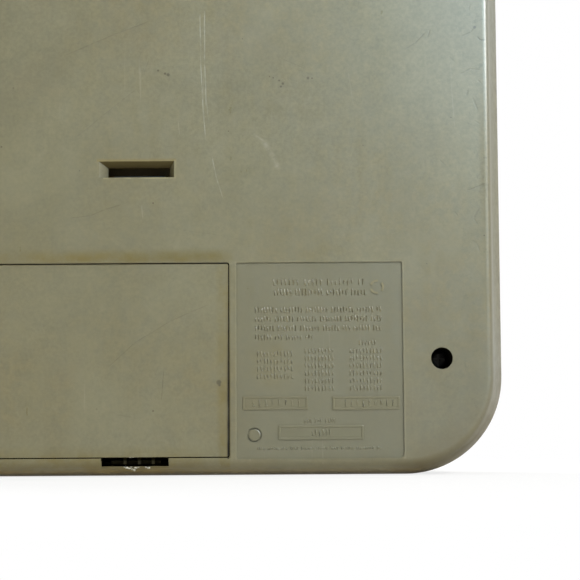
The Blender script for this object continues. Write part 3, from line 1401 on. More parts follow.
def keycap(x, z):
    """Keycap with drafted sides, a soft rim and a dished top, closed underneath."""
    half_w, half_h = KEY_W / 2, KEY_H / 2

    def outline_at(inset, radius):
        return rrect(x - half_w + inset, x + half_w - inset,
                     z - half_h + inset, z + half_h - inset, radius, 7)

    sides = [(outline_at(0.05, KEY_R), -15.85), (outline_at(0.0, KEY_R), -16.6),
             (outline_at(0.22, KEY_R), -20.9)]
    for k in range(1, 6):
        turn = math.pi / 2 * k / 5
        drawn = 1 - math.cos(turn)
        sides.append((outline_at(0.25 + 1.05 * drawn, KEY_R - 0.5 * drawn),
                      -21.45 - 1.05 * math.sin(turn)))
    levels = layered(sides)
    # inner rings sink into the dish
    base = outline_at(1.3, KEY_R - 0.5)
    for share in (0.90, 0.78, 0.62, 0.44, 0.24, 0.08):
        ring = []
        for a, b in base:
            across, up = (a - x) * share, (b - z) * share
            depth = dish(across / half_w, up / half_h) * min(1, (1 - share) * 4)
            ring.append((x + across, KEY_FACE_Y + depth, z + up))
        levels.append(ring)
    cap = loft("cap", levels)
    weld(cap, box("flange", x - half_w - 1, x + half_w + 1, -16.2, -15.4,
                  z - half_h - 1, z + half_h + 1))
    smooth(cap, 50)
    return cap


def bar(x0, z0, x1, z1, width):
    """Outline of a straight stroke."""
    along = Vector((x1 - x0, z1 - z0)).normalized()
    side_x, side_z = -along.y * width / 2, along.x * width / 2
    return [(x0 + side_x, z0 + side_z), (x0 - side_x, z0 - side_z),
            (x1 - side_x, z1 - side_z), (x1 + side_x, z1 + side_z)]


def ring_arc(z, radius, start, end, width=1.2):
    """Curved stroke round (0, z) as 22 outlines; angles in degrees."""
    start, end = math.radians(start), math.radians(end)
    inner = arc(0, z, radius - width / 2, start, end, 22)
    outer = arc(0, z, radius + width / 2, start, end, 22)
    return [[inner[k], outer[k], outer[k + 1], inner[k + 1]] for k in range(22)]


# outlines of each sign, (x, z) from the key's centre
SIGNS = {
    "plus": [bar(-4, 0, 4, 0, 1.5), bar(0, 0.75, 0, 4, 1.5), bar(0, -0.75, 0, -4, 1.5)],
    "minus": [bar(-4, 0, 4, 0, 1.5)],
    "times": [bar(-3, -3, 3, 3, 1.5), bar(-3, 3, -0.53, 0.53, 1.5), bar(0.53, -0.53, 3, -3, 1.5)],
    "divide": [bar(-4, 0, 4, 0, 1.4), circle(0, 3, 1.0, 20), circle(0, -3, 1.0, 20)],
    "equals": [bar(-4, 1.6, 4, 1.6, 1.4), bar(-4, -1.6, 4, -1.6, 1.4)],
    "point": [circle(0, 0, 1.5, 24)],
    "power": ring_arc(0, 3.6, 125, 415) + [bar(0, 0.6, 0, 5.0, 1.2)],
    "previous": [[(-4, 0), (2.6, 4), (2.6, -4)]],
    "next": [[(4, 0), (-2.6, -4), (-2.6, 4)]],
    "mode": [bar(-4, z, 4, z, 1.3) for z in (-3, 0, 3)],
    "replay": ring_arc(0, 3.6, 60, 340) + [[(0.2, 1.2), (4.6, 2.0), (2.9, 5.6)]],
    "clear": [[(-5, 0), (-1.5, 3.4), (4.6, 3.4), (4.6, 2.3), (-1.0, 2.3), (-3.4, 0),
               (-1.0, -2.3), (4.6, -2.3), (4.6, -3.4), (-1.5, -3.4)],
              bar(-0.6, -1.3, 2.2, 1.3, 0.9)],
    "repeat": [bar(-3.6, 2.2, 1.6, 2.2, 1.2), [(1.4, 4.4), (1.4, 0), (4.8, 2.2)],
               bar(-1.6, -2.2, 3.6, -2.2, 1.2), [(-1.4, -4.4), (-4.8, -2.2), (-1.4, 0)]],
    "hint": ring_arc(1.9, 2.3, 180, -60) + [bar(1.0, -0.2, 0, -1.9, 1.2), circle(0, -4.0, 0.85, 20)],
}


def digit(body, x, z):
    curve = bpy.data.curves.new("legend", "FONT")
    curve.body = body
    curve.size = 15.0 * MM
    curve.align_x = "CENTER"
    curve.align_y = "CENTER"
    curve.extrude = 0.18 * MM
    curve.offset = 0.12 * MM
    curve.resolution_u = 6
    text = add_object("legend", curve)
    graph = bpy.context.evaluated_depsgraph_get()
    mesh = bpy.data.meshes.new_from_object(text.evaluated_get(graph))
    bpy.data.objects.remove(text, do_unlink=True)
    bpy.data.curves.remove(curve)
    # centre it by its bounds and stand it up on the key's face
    across = [vert.co.x for vert in mesh.vertices]
    up = [vert.co.y for vert in mesh.vertices]
    mid_x, mid_z = (min(across) + max(across)) / 2, (min(up) + max(up)) / 2
    for vert in mesh.vertices:
        vert.co = Vector((vert.co.x - mid_x + x * MM, -22.12 * MM - vert.co.z,
                          vert.co.y - mid_z + z * MM))
    return add_object("legend", mesh)


def legend(label, x, z):
    if label.isdigit():
        return digit(label, x, z)
    front = KEY_FACE_Y + 0.16
    loops = [[(x + a, z + b) for a, b in loop] for loop in SIGNS[label]]
    return lofts("legend", [layered([(loop, front), (loop, front + 0.36)]) for loop in loops])


for row, labels in enumerate(KEY_NAMES):
    for column, label in enumerate(labels):
        plastic, ink, slot = key_style(label, row)
        cap = keycap(KEY_X[column], KEY_Z[row])
        paint(cap, plastic)
        sign = legend(label, KEY_X[column], KEY_Z[row])
        paint(sign, ink)
        key = join("keycap_" + label, [cap, sign])
        register(key, replaces="key_" + label, rides="key_" + label)


# ------------------------------------------------------------------ display
def lens_material():
    mat = Mat("smoked_lens")
    drift = mat.noise(60.0)
    clear = mat.node("BsdfTransparent")
    clear.inputs[0].default_value = (0.34, 0.46, 0.40, 1)
    glance = mat.node("LayerWeight")
    glance.inputs[0].default_value = 0.12
    mat.mottle(drift, (0.006, 0.012, 0.009), (0.010, 0.018, 0.013))
    material = mat.finish(rough=drift.fade(0.3, 0.7, to=(0.05, 0.10)), spec=0.5)
    fresnel = Signal(mat, glance.outputs["Fresnel"])
    solid = mat.math("ADD", fresnel * 0.8, 0.30, clamp=True)
    mat.mix_shaders(solid, clear.outputs[0], mat.bsdf.outputs[0])
    return material


def build_lens():
    lens = prism("window_lens", rrect(*grown(WINDOW, -0.3), WINDOW_R - 0.3, 8), -19.9, -18.7)
    soften(lens, 0.25, 3)
    paint(lens, lens_material())
    register(lens, replaces="display_window")


build_lens()

# bars of a digit, x0, z0, x1, z1 in steps of BAR_STEP
SEVEN = [(-1, 2, 1, 2), (1, 0, 1, 2), (1, -2, 1, 0), (-1, -2, 1, -2),
         (-1, -2, -1, 0), (-1, 0, -1, 2), (-1, 0, 1, 0)]
BAR_STEP = (2.7, 3.6)
DIGIT_X, DIGIT_PITCH, DIGIT_Z = -76.8, 11.4, 203.0


def build_segments():
    """Unlit, leaning seven-bar digits on the tube's face, each with a point."""
    loops = []
    step_x, step_z = BAR_STEP
    for k in range(9):
        x = DIGIT_X + k * DIGIT_PITCH
        for ax, az, bx, bz in SEVEN:
            start = Vector((x + ax * step_x, DIGIT_Z + az * step_z))
            end = Vector((x + bx * step_x, DIGIT_Z + bz * step_z))
            trim = (end - start).normalized() * 0.75
            loop = bar(*(start + trim), *(end - trim), 1.15)
            loops.append([(a + (b - DIGIT_Z) * 0.10, b) for a, b in loop])
        loops.append(circle(x + 4.6, DIGIT_Z - 7.2, 0.55, 14))
    return lofts("display_segments", [layered([(loop, -17.34), (loop, -17.26)]) for loop in loops])


def phosphor_material():
    mat = Mat("phosphor")
    mat.mottle(mat.noise(500.0, detail=2.0), (0.34, 0.46, 0.40), (0.44, 0.56, 0.48))
    return mat.finish(rough=0.5, emit=(0.25, 0.9, 0.65), emit_s=0.05)


def tube_material():
    """Dark glass over a fine upright mesh."""
    mat = Mat("tube_dark_glass")
    x, _, _ = mat.xyz()
    wires = (x * TO_MM).pingpong(0.55).fade(0.05, 0.15, to=(1.0, 0.0))
    mat.colour = (0.030, 0.034, 0.034)
    mat.layer(wires, (0.16, 0.17, 0.16), amount=0.35)
    return mat.finish(rough=0.12, spec=0.5, coat=0.6, coat_rough=0.05)


segments = build_segments()
paint(segments, phosphor_material())
register(segments)
paint(NODES["display_tube"], tube_material())


# ------------------------------------------------------------------ speaker grille and cloth
def build_grille():
    # radius, y
    profile = [(0, -19.45), (SPK_R - 3.4, -19.45), (SPK_R - 2.4, -19.95), (SPK_R - 1.2, -19.95),
               (SPK_R - 0.35, -19.5), (SPK_R - 0.35, -17.3), (SPK_R + 2, -17.3),
               (SPK_R + 2, -16.3), (0, -16.3)]
    grille = turned_y("grille_disc", profile, SPK_X, SPK_Z, 96)
    slots = []
    for k in range(-4, 5):
        up = k * 5.2
        half = math.sqrt(23.0 ** 2 - up * up)
        z = SPK_Z + up
        slots.append(prism("slot", rrect(SPK_X - half, SPK_X + half, z - 1.3, z + 1.3, 1.28, 8),
                           -25, -10))
    cut(grille, join("slots", slots))
    clean(grille)
    soften(grille, 0.22, 2)
    paint(grille, MAT_DARK)
    register(grille, replaces="speaker_grille")


def cloth_material():
    """Black cloth with a 0.9 mm weave."""
    mat = Mat("speaker_cloth")
    x, _, z = mat.xyz()
    turns = 6283.0 / 0.9
    weave = mat.math("SINE", x * turns) * mat.math("SINE", z * turns)
    mat.colour = mat.mix(weave.fade(-0.6, 0.6), (0.010, 0.010, 0.010), (0.060, 0.056, 0.050))
    return mat.finish(rough=0.9, normal=mat.bump(weave, strength=0.5, distance=0.0002), sheen=0.2)


def build_cloth():
    # radius, y
    profile = [(0, -16.18), (8, -16.16), (16, -16.14), (24, -16.16), (25.5, -16.10),
               (24, -16.02), (0, -16.02)]
    cloth = turned_y("speaker_cloth", profile, SPK_X, SPK_Z, 64)
    smooth(cloth, 50)
    paint(cloth, cloth_material())
    register(cloth)


def build_stripes():
    """Three stripes inlaid across the front."""
    parts = []
    for z, material in ((170.2, KEY_ORANGE), (165.2, KEY_CREAM), (160.2, KEY_BLUE)):
        stripe = prism("stripe", rrect(-91.7, 91.7, z - 1.7, z + 1.7, 1.69, 8),
                       FRONT_Y - 0.14, FRONT_Y + 0.5)
        soften(stripe, 0.08, 2, bake=True)
        paint(stripe, material)
        parts.append(stripe)
    register(join("front_stripes", parts))


build_grille()
build_cloth()
build_stripes()


# ------------------------------------------------------------------ cells, springs, contacts
def jacket_material():
    """Printed sleeve: dark body, orange band near the plus end, thin rings, a lap seam."""
    mat = Mat("cell_jacket")
    x, y, z = mat.xyz()
    along = x * TO_MM
    drift = mat.noise(220.0)
    dark = mat.mix(drift.fade(0.3, 0.7), (0.020, 0.022, 0.030), (0.032, 0.034, 0.044))
    orange = mat.mix(drift.fade(0.3, 0.7), (0.62, 0.30, 0.08), (0.70, 0.36, 0.11))
    mat.colour = mat.mix(along.fade(31.4, 31.5) * along.fade(46.9, 46.8), dark, orange)
    for place in (8.0, 9.6, 29.4):
        mat.layer(abs(along - place).fade(0.36, 0.30), (0.66, 0.62, 0.50))
    seam = abs(mat.math("ARCTAN2", z, y) - -0.9).fade(0.03, 0.02)
    mat.layer(seam, (0.01, 0.01, 0.01), amount=0.5)
    return mat.finish(rough=drift.fade(0.3, 0.7, to=(0.22, 0.34)), metal=0.25, spec=0.5,
                      normal=mat.bump(mat.noise(700.0, detail=2.0), 0.12, distance=0.00005))


MAT_JACKET = jacket_material()
MAT_CELL_END = metal("cell_end", (0.66, 0.65, 0.60), rough=0.30)
MAT_MARK = plain_plastic("sleeve_print", (0.74, 0.72, 0.66), rough=0.35, wear=0.0)

# x, radius along a cell; the plus end is at CELL_L
CELL_PROFILE = [
    (0.3, 0.0), (0.3, 8.8), (0.0, 9.4), (0.0, 11.9), (0.3, 12.6), (0.9, 13.0), (1.5, CELL_R),
    (CELL_L - 3.3, CELL_R), (CELL_L - 2.6, 12.98), (CELL_L - 2.05, 12.5), (CELL_L - 1.75, 11.6),
    (CELL_L - 2.1, 10.8), (CELL_L - 2.1, 6.2), (CELL_L - 1.6, 5.4), (CELL_L - 1.5, 4.6),
    (CELL_L - 0.6, 4.4), (CELL_L - 0.12, 3.9), (CELL_L, 3.2), (CELL_L, 0.0),
]
MARK_HALF, MARK_STROKE = 3.2, 0.9   # half length and half width of the polarity marks


def wrapped(x0, x1, start, end):
    """Patch of print on the sleeve between two angles about the cell's axis."""
    verts, faces = [], []
    steps = 6
    for radius in (CELL_R - 0.2, CELL_R + 0.05):
        for k in range(steps + 1):
            turn = start + (end - start) * k / steps
            verts += [(x, radius * math.cos(turn), radius * math.sin(turn)) for x in (x0, x1)]
    outer = 2 * (steps + 1)
    for k in range(steps):
        a, b = 2 * k, 2 * k + 2
        faces += [(outer + a, outer + a + 1, outer + b + 1, outer + b), (a, b, b + 1, a + 1),
                  (a, outer + a, outer + b, b), (a + 1, b + 1, outer + b + 1, outer + a + 1)]
    last = 2 * steps
    faces += [(0, 1, outer + 1, outer), (last, outer + last, outer + last + 1, last + 1)]
    patch = mesh_obj("mark", verts, faces)
    paint(patch, MAT_MARK)
    return patch


def polarity_marks():
    """A plus and a minus facing the opening."""
    half, reach = MARK_STROKE / CELL_R, MARK_HALF / CELL_R
    plus, minus = 39.2, 14.3
    return [wrapped(plus - MARK_HALF, plus + MARK_HALF, -half, half),
            wrapped(plus - MARK_STROKE, plus + MARK_STROKE, half, reach),
            wrapped(plus - MARK_STROKE, plus + MARK_STROKE, -reach, -half),
            wrapped(minus - MARK_HALF, minus + MARK_HALF, -half, half)]


def battery(name, x0, z, plus_low_x):
    body = turned_x(name, CELL_PROFILE, 0, 0, 96)
    smooth(body, 40)
    paint(body, MAT_JACKET, MAT_CELL_END)
    for face in body.data.polygons:
        points = [body.data.vertices[i].co for i in face.vertices]
        x = sum(point.x for point in points) / len(points) / MM
        radius = sum(math.hypot(point.y, point.z) for point in points) / len(points) / MM
        face.material_index = 0 if (radius > 12.7 and 0.9 < x < CELL_L - 2.4) else 1
    cell = join(name + "_cell", [body] + polarity_marks())
    start = x0 + CELL_L if plus_low_x else x0
    place = Matrix.Translation(Vector((start * MM, CELL_Y * MM, z * MM)))
    cell.matrix_world = place @ Matrix.Rotation(math.pi, 4, "Y") if plus_low_x else place
    bpy.context.view_layer.update()
    register(cell, replaces=name)


battery("battery_1", -24.9, CELL_Z[0], plus_low_x=True)
battery("battery_2", 25.3, CELL_Z[0], plus_low_x=True)
battery("battery_3", -22.4, CELL_Z[1], plus_low_x=False)
battery("battery_4", 27.8, CELL_Z[1], plus_low_x=False)


def spring(name, x0, x1, z):
    """Conical spring, narrowing from x0 to x1."""
    points = []
    turns = 3.25
    steps = int(30 * turns)
    for i in range(steps + 1):
        share = i / steps
        angle = share * turns * 2 * math.pi
        radius = 6.2 - 2.2 * share
        points.append((x0 + (x1 - x0) * share, CELL_Y + radius * math.cos(angle),
                       z + radius * math.sin(angle)))
    wire = sweep(name + "_wire", points, 0.45)
    smooth(wire, 60)
    paint(wire, MAT_STEEL)
    register(wire, replaces=name)


def contact(name, x0, x1, z):
    """Clipped leaf with a low dome facing the cell."""
    # z from the cell's axis, y
    corners = [(-6, -4), (6, -4), (6, 9.4), (4.4, 12), (-4.4, 12), (-6, 9.4)]
    leaf = along_x(name + "_leaf", [(y, z + up) for up, y in corners], x0, x1)
    towards, face = (1, x1) if x0 < 0 else (-1, x0)
    # distance proud of the leaf, radius
    steps = [(-0.2, 0), (-0.2, 4.2), (0.02, 4.0), (0.28, 3.0), (0.36, 0)]
    weld(leaf, turned_x("dome", [(face + towards * proud, r) for proud, r in steps], CELL_Y, z, 40))
    soften(leaf, 0.08, 2, angle=40)
    paint(leaf, MAT_STEEL)
    register(leaf, replaces=name)


spring("contact_spring_1", 78.2, 75.9, CELL_Z[0])
spring("contact_spring_2", -25.2, -23.1, CELL_Z[1])
contact("contact_plate_1", -25.7, -25.3, CELL_Z[0])
contact("contact_plate_2", 78.2, 78.6, CELL_Z[1])


# ------------------------------------------------------------------ casing screws
def case_screw(number, x, z):
    # radius, y: tip, twenty threads, head
    profile = [(0, -13.4), (0.3, -13.2)]
    for turn in range(20):
        y = -12.4 + turn
        profile += [(1.15, y), (1.4, y + 0.35), (1.15, y + 0.7)]
    # radius, y from the seat
    head = [(1.15, 0.1), (2.6, 0.15), (2.8, 0.35), (2.8, 1.2), (2.62, 1.7), (2.1, 2.15),
            (1.3, 2.36), (0, 2.4)]
    profile += [(radius, SEAT_Y + rise) for radius, rise in head]
    screw = turned_y("case_screw_body_%d" % number, profile, x, z, 36)
    for half_x, half_z in ((1.7, 0.33), (0.33, 1.7)):
        cut(screw, box("cross", x - half_x, x + half_x, SEAT_Y + 1.2, SEAT_Y + 3,
                       z - half_z, z + half_z))
    smooth(screw, 30)
    paint(screw, MAT_SCREW)
    register(screw, replaces="case_screw_%d" % number)


for index, (x, z) in enumerate(SCREWS):
    case_screw(index + 1, x, z)

# ------------------------------------------------------------------ sockets
MAT_BLACK = plain_plastic("black_nylon", (0.018, 0.018, 0.019), rough=0.38, wear=0.5)


def jack(name, body_box, z, outer, bore, pin):
    """Socket body with a round collar through the low-x flank and a steel liner."""
    body = box(name + "_body", -104.1, *body_box)
    soften(body, 0.5, 3, bake=True)
    collar = [(-106.6, 0), (-106.6, outer - 0.3), (-106.3, outer), (-103.9, outer), (-103.9, 0)]
    weld(body, turned_x("collar", collar, JACK_Y, z, 48))
    hole = [(-110, 0), (-110, bore + 0.5), (-106.61, bore + 0.5), (-106.1, bore), (-96, bore),
            (-96, 0)]
    cut(body, turned_x("hole", hole, JACK_Y, z, 48))
    smooth(body, 36)
    paint(body, MAT_BLACK)
    parts = [body]
    sleeve = [(-106.2, bore - 0.02), (-106.2, bore - 0.3), (-96.2, bore - 0.3),
              (-96.2, bore - 0.02)]
    liner = turned_x("liner", sleeve, JACK_Y, z, 48)
    close_ring(liner, 48)
    smooth(liner, 36)
    paint(liner, MAT_STEEL)
    parts.append(liner)
    if pin:
        profile = [(-104.6, 0), (-104.45, 0.6), (-104.1, 0.9), (-103.5, 1.0), (-95.9, 1.0),
                   (-95.9, 0)]
        centre = turned_x("pin", profile, JACK_Y, z, 28)
        smooth(centre, 40)
        paint(centre, MAT_STEEL)
        parts.append(centre)
    register(join(name + "_socket", parts), replaces=name)


# body_box: x1, y0, y1, z0, z1
jack("adapter_jack", body_box=(-92.5, -13.2, -1.8, 160.4, 171.8), z=ADAPTER_Z,
     outer=3.9, bore=2.6, pin=True)
jack("earphone_jack", body_box=(-94.0, -11.6, -3.4, 176.9, 185.1), z=EARPHONE_Z,
     outer=2.9, bore=1.75, pin=False)


# ------------------------------------------------------------------ boards
def board_material(name, base, copper, pitch=2.54):
    """Brown phenolic board with tracks under the lacquer and rows of soldered pads."""
    mat = Mat(name)
    x, _, z = mat.xyz()
    broad = mat.noise(90.0, detail=4.0)
    fibre = mat.noise(500.0, detail=2.0, vec=mat.scaled(0.15, 1, 1))
    mat.mottle(broad, base, times(base, 0.78))
    mat.layer(fibre.fade(0.4, 0.7, to=(0, 0.25)), times(base, 0.6))
    cells = mat.voronoi(85.0, vec=mat.scaled(1, 0, 1), metric="MANHATTAN")
    tracks = (cells * 9.0).pingpong(0.5).fade(0.20, 0.26)
    # none in the strip below z = 96 about x = 0
    tracks = tracks * abs(x * TO_MM).fade(13.0, 14.0).max((z * TO_MM).fade(96.0, 97.0))
    mat.layer(tracks, copper, amount=0.75)
    off_x = (x * TO_MM).pingpong(pitch / 2) - pitch / 4
    off_z = (z * TO_MM).pingpong(pitch / 2) - pitch / 4
    distance = (off_x * off_x + off_z * off_z).sqrt()
    pads = distance.fade(0.42, 0.36) * mat.noise(70.0, detail=1.0).fade(0.56, 0.58)
    mat.layer(pads, (0.52, 0.52, 0.50))
    return mat.finish(rough=0.42 - pads * 0.15, metal=pads * 0.9,
                      normal=mat.bump(tracks * 0.5 + pads, strength=0.4, distance=0.0001))


def rubber_material():
    mat = Mat("silicone_sheet")
    drift = mat.noise(120.0)
    mat.mottle(drift, (0.17, 0.17, 0.16), (0.22, 0.22, 0.205))
    return mat.finish(rough=drift.fade(0.3, 0.7, to=(0.52, 0.66)), sheen=0.15,
                      normal=mat.bump(mat.noise(900.0, detail=2.0), 0.2, distance=0.00005))


# board, base colour, track colour, pad pitch
BOARDS = [
    ("main_board", (0.29, 0.20, 0.072), (0.24, 0.15, 0.06), 2.54),
    ("key_board", (0.15, 0.085, 0.032), (0.045, 0.040, 0.036), 3.6),
    ("display_board", (0.10, 0.052, 0.018), (0.20, 0.11, 0.04), 2.0),
]
for name, base, copper, pitch in BOARDS:
    paint(NODES[name], board_material(name, base, copper, pitch))
paint(NODES["contact_sheet"], rubber_material())

# ------------------------------------------------------------------ chips
MAT_EPOXY = plain_plastic("epoxy_body", (0.016, 0.016, 0.017), rough=0.55, wear=0.3)
LEG_PITCH = 2.54


def leg(x, z, outward):
    """Bent tinned leg from the body's side at z, towards outward in z."""
    # y, distance outward
    shape = [(0.55, -0.2), (0.55, 0.62), (0.3, 0.9), (-2.38, 0.9), (-2.38, 0.62), (0.12, 0.62),
             (0.27, 0.4), (0.27, -0.2)]
    piece = along_x("leg", [(y, z + outward * out) for y, out in shape], x - 0.32, x + 0.32)
    paint(piece, MAT_STEEL)
    return piece


def chip_piece(name, x0, x1, z0, z1):
    """Moulded body with a pin-one notch, and a row of legs down each side."""
    low = [(x0 + 0.25, z0 + 1.45), (x1 - 0.25, z0 + 1.45), (x1 - 0.25, z1 - 1.45),
           (x0 + 0.25, z1 - 1.45)]
    middle = [(x0, z0 + 1.2), (x1, z0 + 1.2), (x1, z1 - 1.2), (x0, z1 - 1.2)]
    body = loft(name + "_body", layered([(low, -1.45), (middle, 0.4), (low, 2.1)]))
    cut(body, bar_y("notch", x0, (z0 + z1) / 2, 1.6, 1.3, 4, 32),
        bar_y("dot", x0 + 3.0, z0 + 3.6, 0.7, 1.9, 4, 24))
    soften(body, 0.12, 2, angle=30, bake=True)
    paint(body, MAT_EPOXY)
    parts = [body]
    count = int((x1 - x0 - 2.5) / LEG_PITCH) + 1
    start = (x0 + x1) / 2 - (count - 1) * LEG_PITCH / 2
    for k in range(count):
        x = start + k * LEG_PITCH
        parts += [leg(x, z0 + 1.2, -1), leg(x, z1 - 1.2, 1)]
    register(join(name + "_dip", parts), replaces=name)


chip_piece("controller_chip", -58, -22, 100, 116)
chip_piece("speech_chip", -12, 24, 100, 116)
chip_piece("memory_chip_1", -58, -22, 124, 140)
chip_piece("memory_chip_2", -12, 24, 124, 140)

# ------------------------------------------------------------------ display converter
MAT_FERRITE = plain_plastic("ferrite", (0.035, 0.033, 0.032), rough=0.62, wear=0.4)


def tape_material():
    mat = Mat("yellow_tape")
    _, y, _ = mat.xyz()
    drift = mat.noise(300.0)
    laps = (y * TO_MM).pingpong(0.9).fade(0.0, 0.08)
    mat.mottle(drift, (0.62, 0.42, 0.07), (0.70, 0.50, 0.10))
    mat.colour = mat.mix(laps, (0.30, 0.18, 0.03), mat.colour)
    return mat.finish(rough=0.3, normal=mat.bump(laps, strength=0.4, distance=0.0001))


def build_converter():
    """Taped coil on a ferrite core."""
    core = box("core", 36, 52, -2.15, 8.4, 120, 134)
    soften(core, 0.9, 3, bake=True)
    paint(core, MAT_FERRITE)
    coil = box("coil", 34.5, 53.5, -1.2, 6.4, 122.5, 131.5)
    soften(coil, 1.4, 4, bake=True)
    paint(coil, tape_material())
    register(join("display_converter_coil", [core, coil]),
             replaces="display_converter")


build_converter()

# ------------------------------------------------------------------ smoothing capacitor
CAP_X, CAP_Z = 44, 104


def sleeve_material():
    """Blue-black sleeve with a dashed pale line up one side."""
    mat = Mat("capacitor_sleeve")
    x, y, z = mat.xyz()
    drift = mat.noise(300.0)
    side = abs(x * TO_MM - 44.0).fade(1.6, 1.5) * (z * TO_MM).fade(104.0, 104.5)
    dashes = (y * TO_MM).pingpong(1.5).fade(0.5, 0.55)
    mat.mottle(drift, (0.020, 0.030, 0.080), (0.030, 0.042, 0.11))
    mat.layer(side * dashes, (0.6, 0.6, 0.55))
    return mat.finish(rough=0.28, spec=0.5)


def build_capacitor():
    # radius, y
    profile = [(0, -2.1), (5.0, -2.1), (5.5, -1.7), (5.5, -0.9), (5.1, -0.5), (5.1, -0.1),
               (5.5, 0.3), (5.5, 9.7), (5.2, 10.3), (4.6, 10.5), (4.2, 10.4), (0, 10.35)]
    can = turned_y("capacitor_can", profile, CAP_X, CAP_Z, 56)
    smooth(can, 36)
    # scored cross in the end
    for half_x, half_z in ((3, 0.2), (0.2, 3)):
        cut(can, box("score", CAP_X - half_x, CAP_X + half_x, 10.15, 11,
                     CAP_Z - half_z, CAP_Z + half_z))
    paint(can, sleeve_material())
    register(can, replaces="smoothing_capacitor")


build_capacitor()


# ------------------------------------------------------------------ loudspeaker
def paper_material():
    """Dark fibrous paper with rings about the speaker's axis."""
    mat = Mat("cone_paper")
    x, _, z = mat.xyz()
    off_x, off_z = x - SPK_X * MM, z - SPK_Z * MM
    distance = (off_x * off_x + off_z * off_z).sqrt()
    wave = mat.math("SINE", distance * 3140.0)
    fibre = mat.noise(800.0, detail=4.0, rough=0.7)
    mat.colour = mat.mix(fibre.fade(0.35, 0.65), (0.035, 0.032, 0.029), (0.075, 0.068, 0.060))
    return mat.finish(rough=0.9, normal=mat.bump(fibre + wave * 0.5, 0.5, distance=0.0002))


# profiles: radius, y
CONE = [
    (0, -9.2), (2.4, -9.05), (4.6, -8.5), (6.3, -7.6), (7.4, -6.8), (12.0, -9.1), (18.0, -12.1),
    (20.4, -13.3), (21.1, -14.1), (21.8, -14.3), (22.4, -13.9), (22.9, -13.8), (23.4, -14.2),
    (23.8, -14.1), (23.8, -13.7), (22.6, -13.4), (18.0, -11.4), (8.6, -5.6), (8.0, -3.9),
    (0, -3.9),
]
BASKET = [(24.6, -15.9), (28.2, -15.9), (28.2, -14.7), (25.7, -14.5), (25.6, -12.4),
          (13.4, -3.4), (9.2, -3.4), (9.2, -4.6), (12.6, -4.6), (24.6, -13.0)]
MAGNET = [(0, -2.4), (6, -2.4), (6, -3.1), (15.6, -3.1), (16, -2.7), (16, 1.0), (15.6, 1.4),
          (14.8, 1.4), (14.8, 3.8), (14.4, 4.2), (3.0, 4.2), (2.6, 3.9), (0, 3.9)]


def build_speaker():
    cone = turned_y("speaker_cone_paper", CONE, SPK_X, SPK_Z, 88)
    smooth(cone, 32)
    paint(cone, paper_material())
    register(cone, replaces="speaker_cone")

    basket = turned_y("speaker_basket_frame", BASKET, SPK_X, SPK_Z, 80)
    close_ring(basket, 80)
    # four windows through the sloping wall
    for k in range(4):
        turn = math.pi / 4 + k * math.pi / 2
        cut(basket, bar_y("window", SPK_X + 18.6 * math.cos(turn),
                          SPK_Z + 18.6 * math.sin(turn), 3.6, -20, 0, 28))
    smooth(basket, 32)
    paint(basket, MAT_STEEL)
    register(basket, replaces="speaker_basket")

    magnet = turned_y("speaker_magnet_yoke", MAGNET, SPK_X, SPK_Z, 72)
    smooth(magnet, 32)
    paint(magnet, MAT_FERRITE)
    register(magnet, replaces="speaker_magnet")


build_speaker()


# ------------------------------------------------------------------ cable and lead
def ribbon_material():
    """Grey ribbon with a groove between wires and a red wire on its low-x edge."""
    mat = Mat("ribbon")
    x, _, _ = mat.xyz()
    wire = ((x + 0.052) * TO_MM).pingpong(0.635)
    groove = wire.fade(0.50, 0.62)
    first = (x * TO_MM).fade(-50.6, -50.8)
    mat.mottle(mat.noise(300.0, detail=2.0), (0.33, 0.33, 0.33), (0.39, 0.39, 0.38))
    mat.layer(groove, (0.14, 0.14, 0.14))
    mat.layer(first, (0.45, 0.05, 0.03))
    return mat.finish(rough=0.42, normal=mat.bump(wire, strength=0.7, distance=0.0003))


paint(NODES["ribbon_cable"], ribbon_material())
MAT_RED = plain_plastic("red_pvc", (0.36, 0.028, 0.018), rough=0.4, wear=0.0)

# x, y, z along the lead, from the speaker down to the board
LEAD_PATH = [(62, 6.2, 196), (62, 7.2, 188), (56, 6.5, 174), (50, 3.0, 162), (49, -0.4, 152),
             (49, -1.2, 146)]


def smooth_path(points, steps):
    """Catmull-Rom curve through the points."""
    nodes = [Vector(point) for point in points]
    path = []
    for i in range(len(nodes) - 1):
        before, start, end = nodes[max(i - 1, 0)], nodes[i], nodes[i + 1]
        beyond = nodes[min(i + 2, len(nodes) - 1)]
        for k in range(steps):
            t = k / steps
            path.append(0.5 * ((2 * start) + (end - before) * t
                               + (2 * before - 5 * start + 4 * end - beyond) * t * t
                               + (3 * start - before - 3 * end + beyond) * t ** 3))
    path.append(nodes[-1])
    return path


def build_leads():
    """Red and black wires twisted round one path."""
    path = smooth_path(LEAD_PATH, 14)
    wires = []
    for phase, material in ((0, MAT_RED), (math.pi, MAT_BLACK)):
        points = []
        for i, centre in enumerate(path):
            ahead = (path[min(i + 1, len(path) - 1)] - path[max(i - 1, 0)]).normalized()
            side = ahead.cross(Vector((1, 0, 0))).normalized()
            other = ahead.cross(side)
            turn = i * 0.42 + phase
            points.append(centre + (side * math.cos(turn) + other * math.sin(turn)) * 0.47)
        wire = sweep("wire", points, 0.45)
        smooth(wire, 60)
        paint(wire, material)
        wires.append(wire)
    register(join("speaker_lead_pair", wires), replaces="speaker_lead")


build_leads()


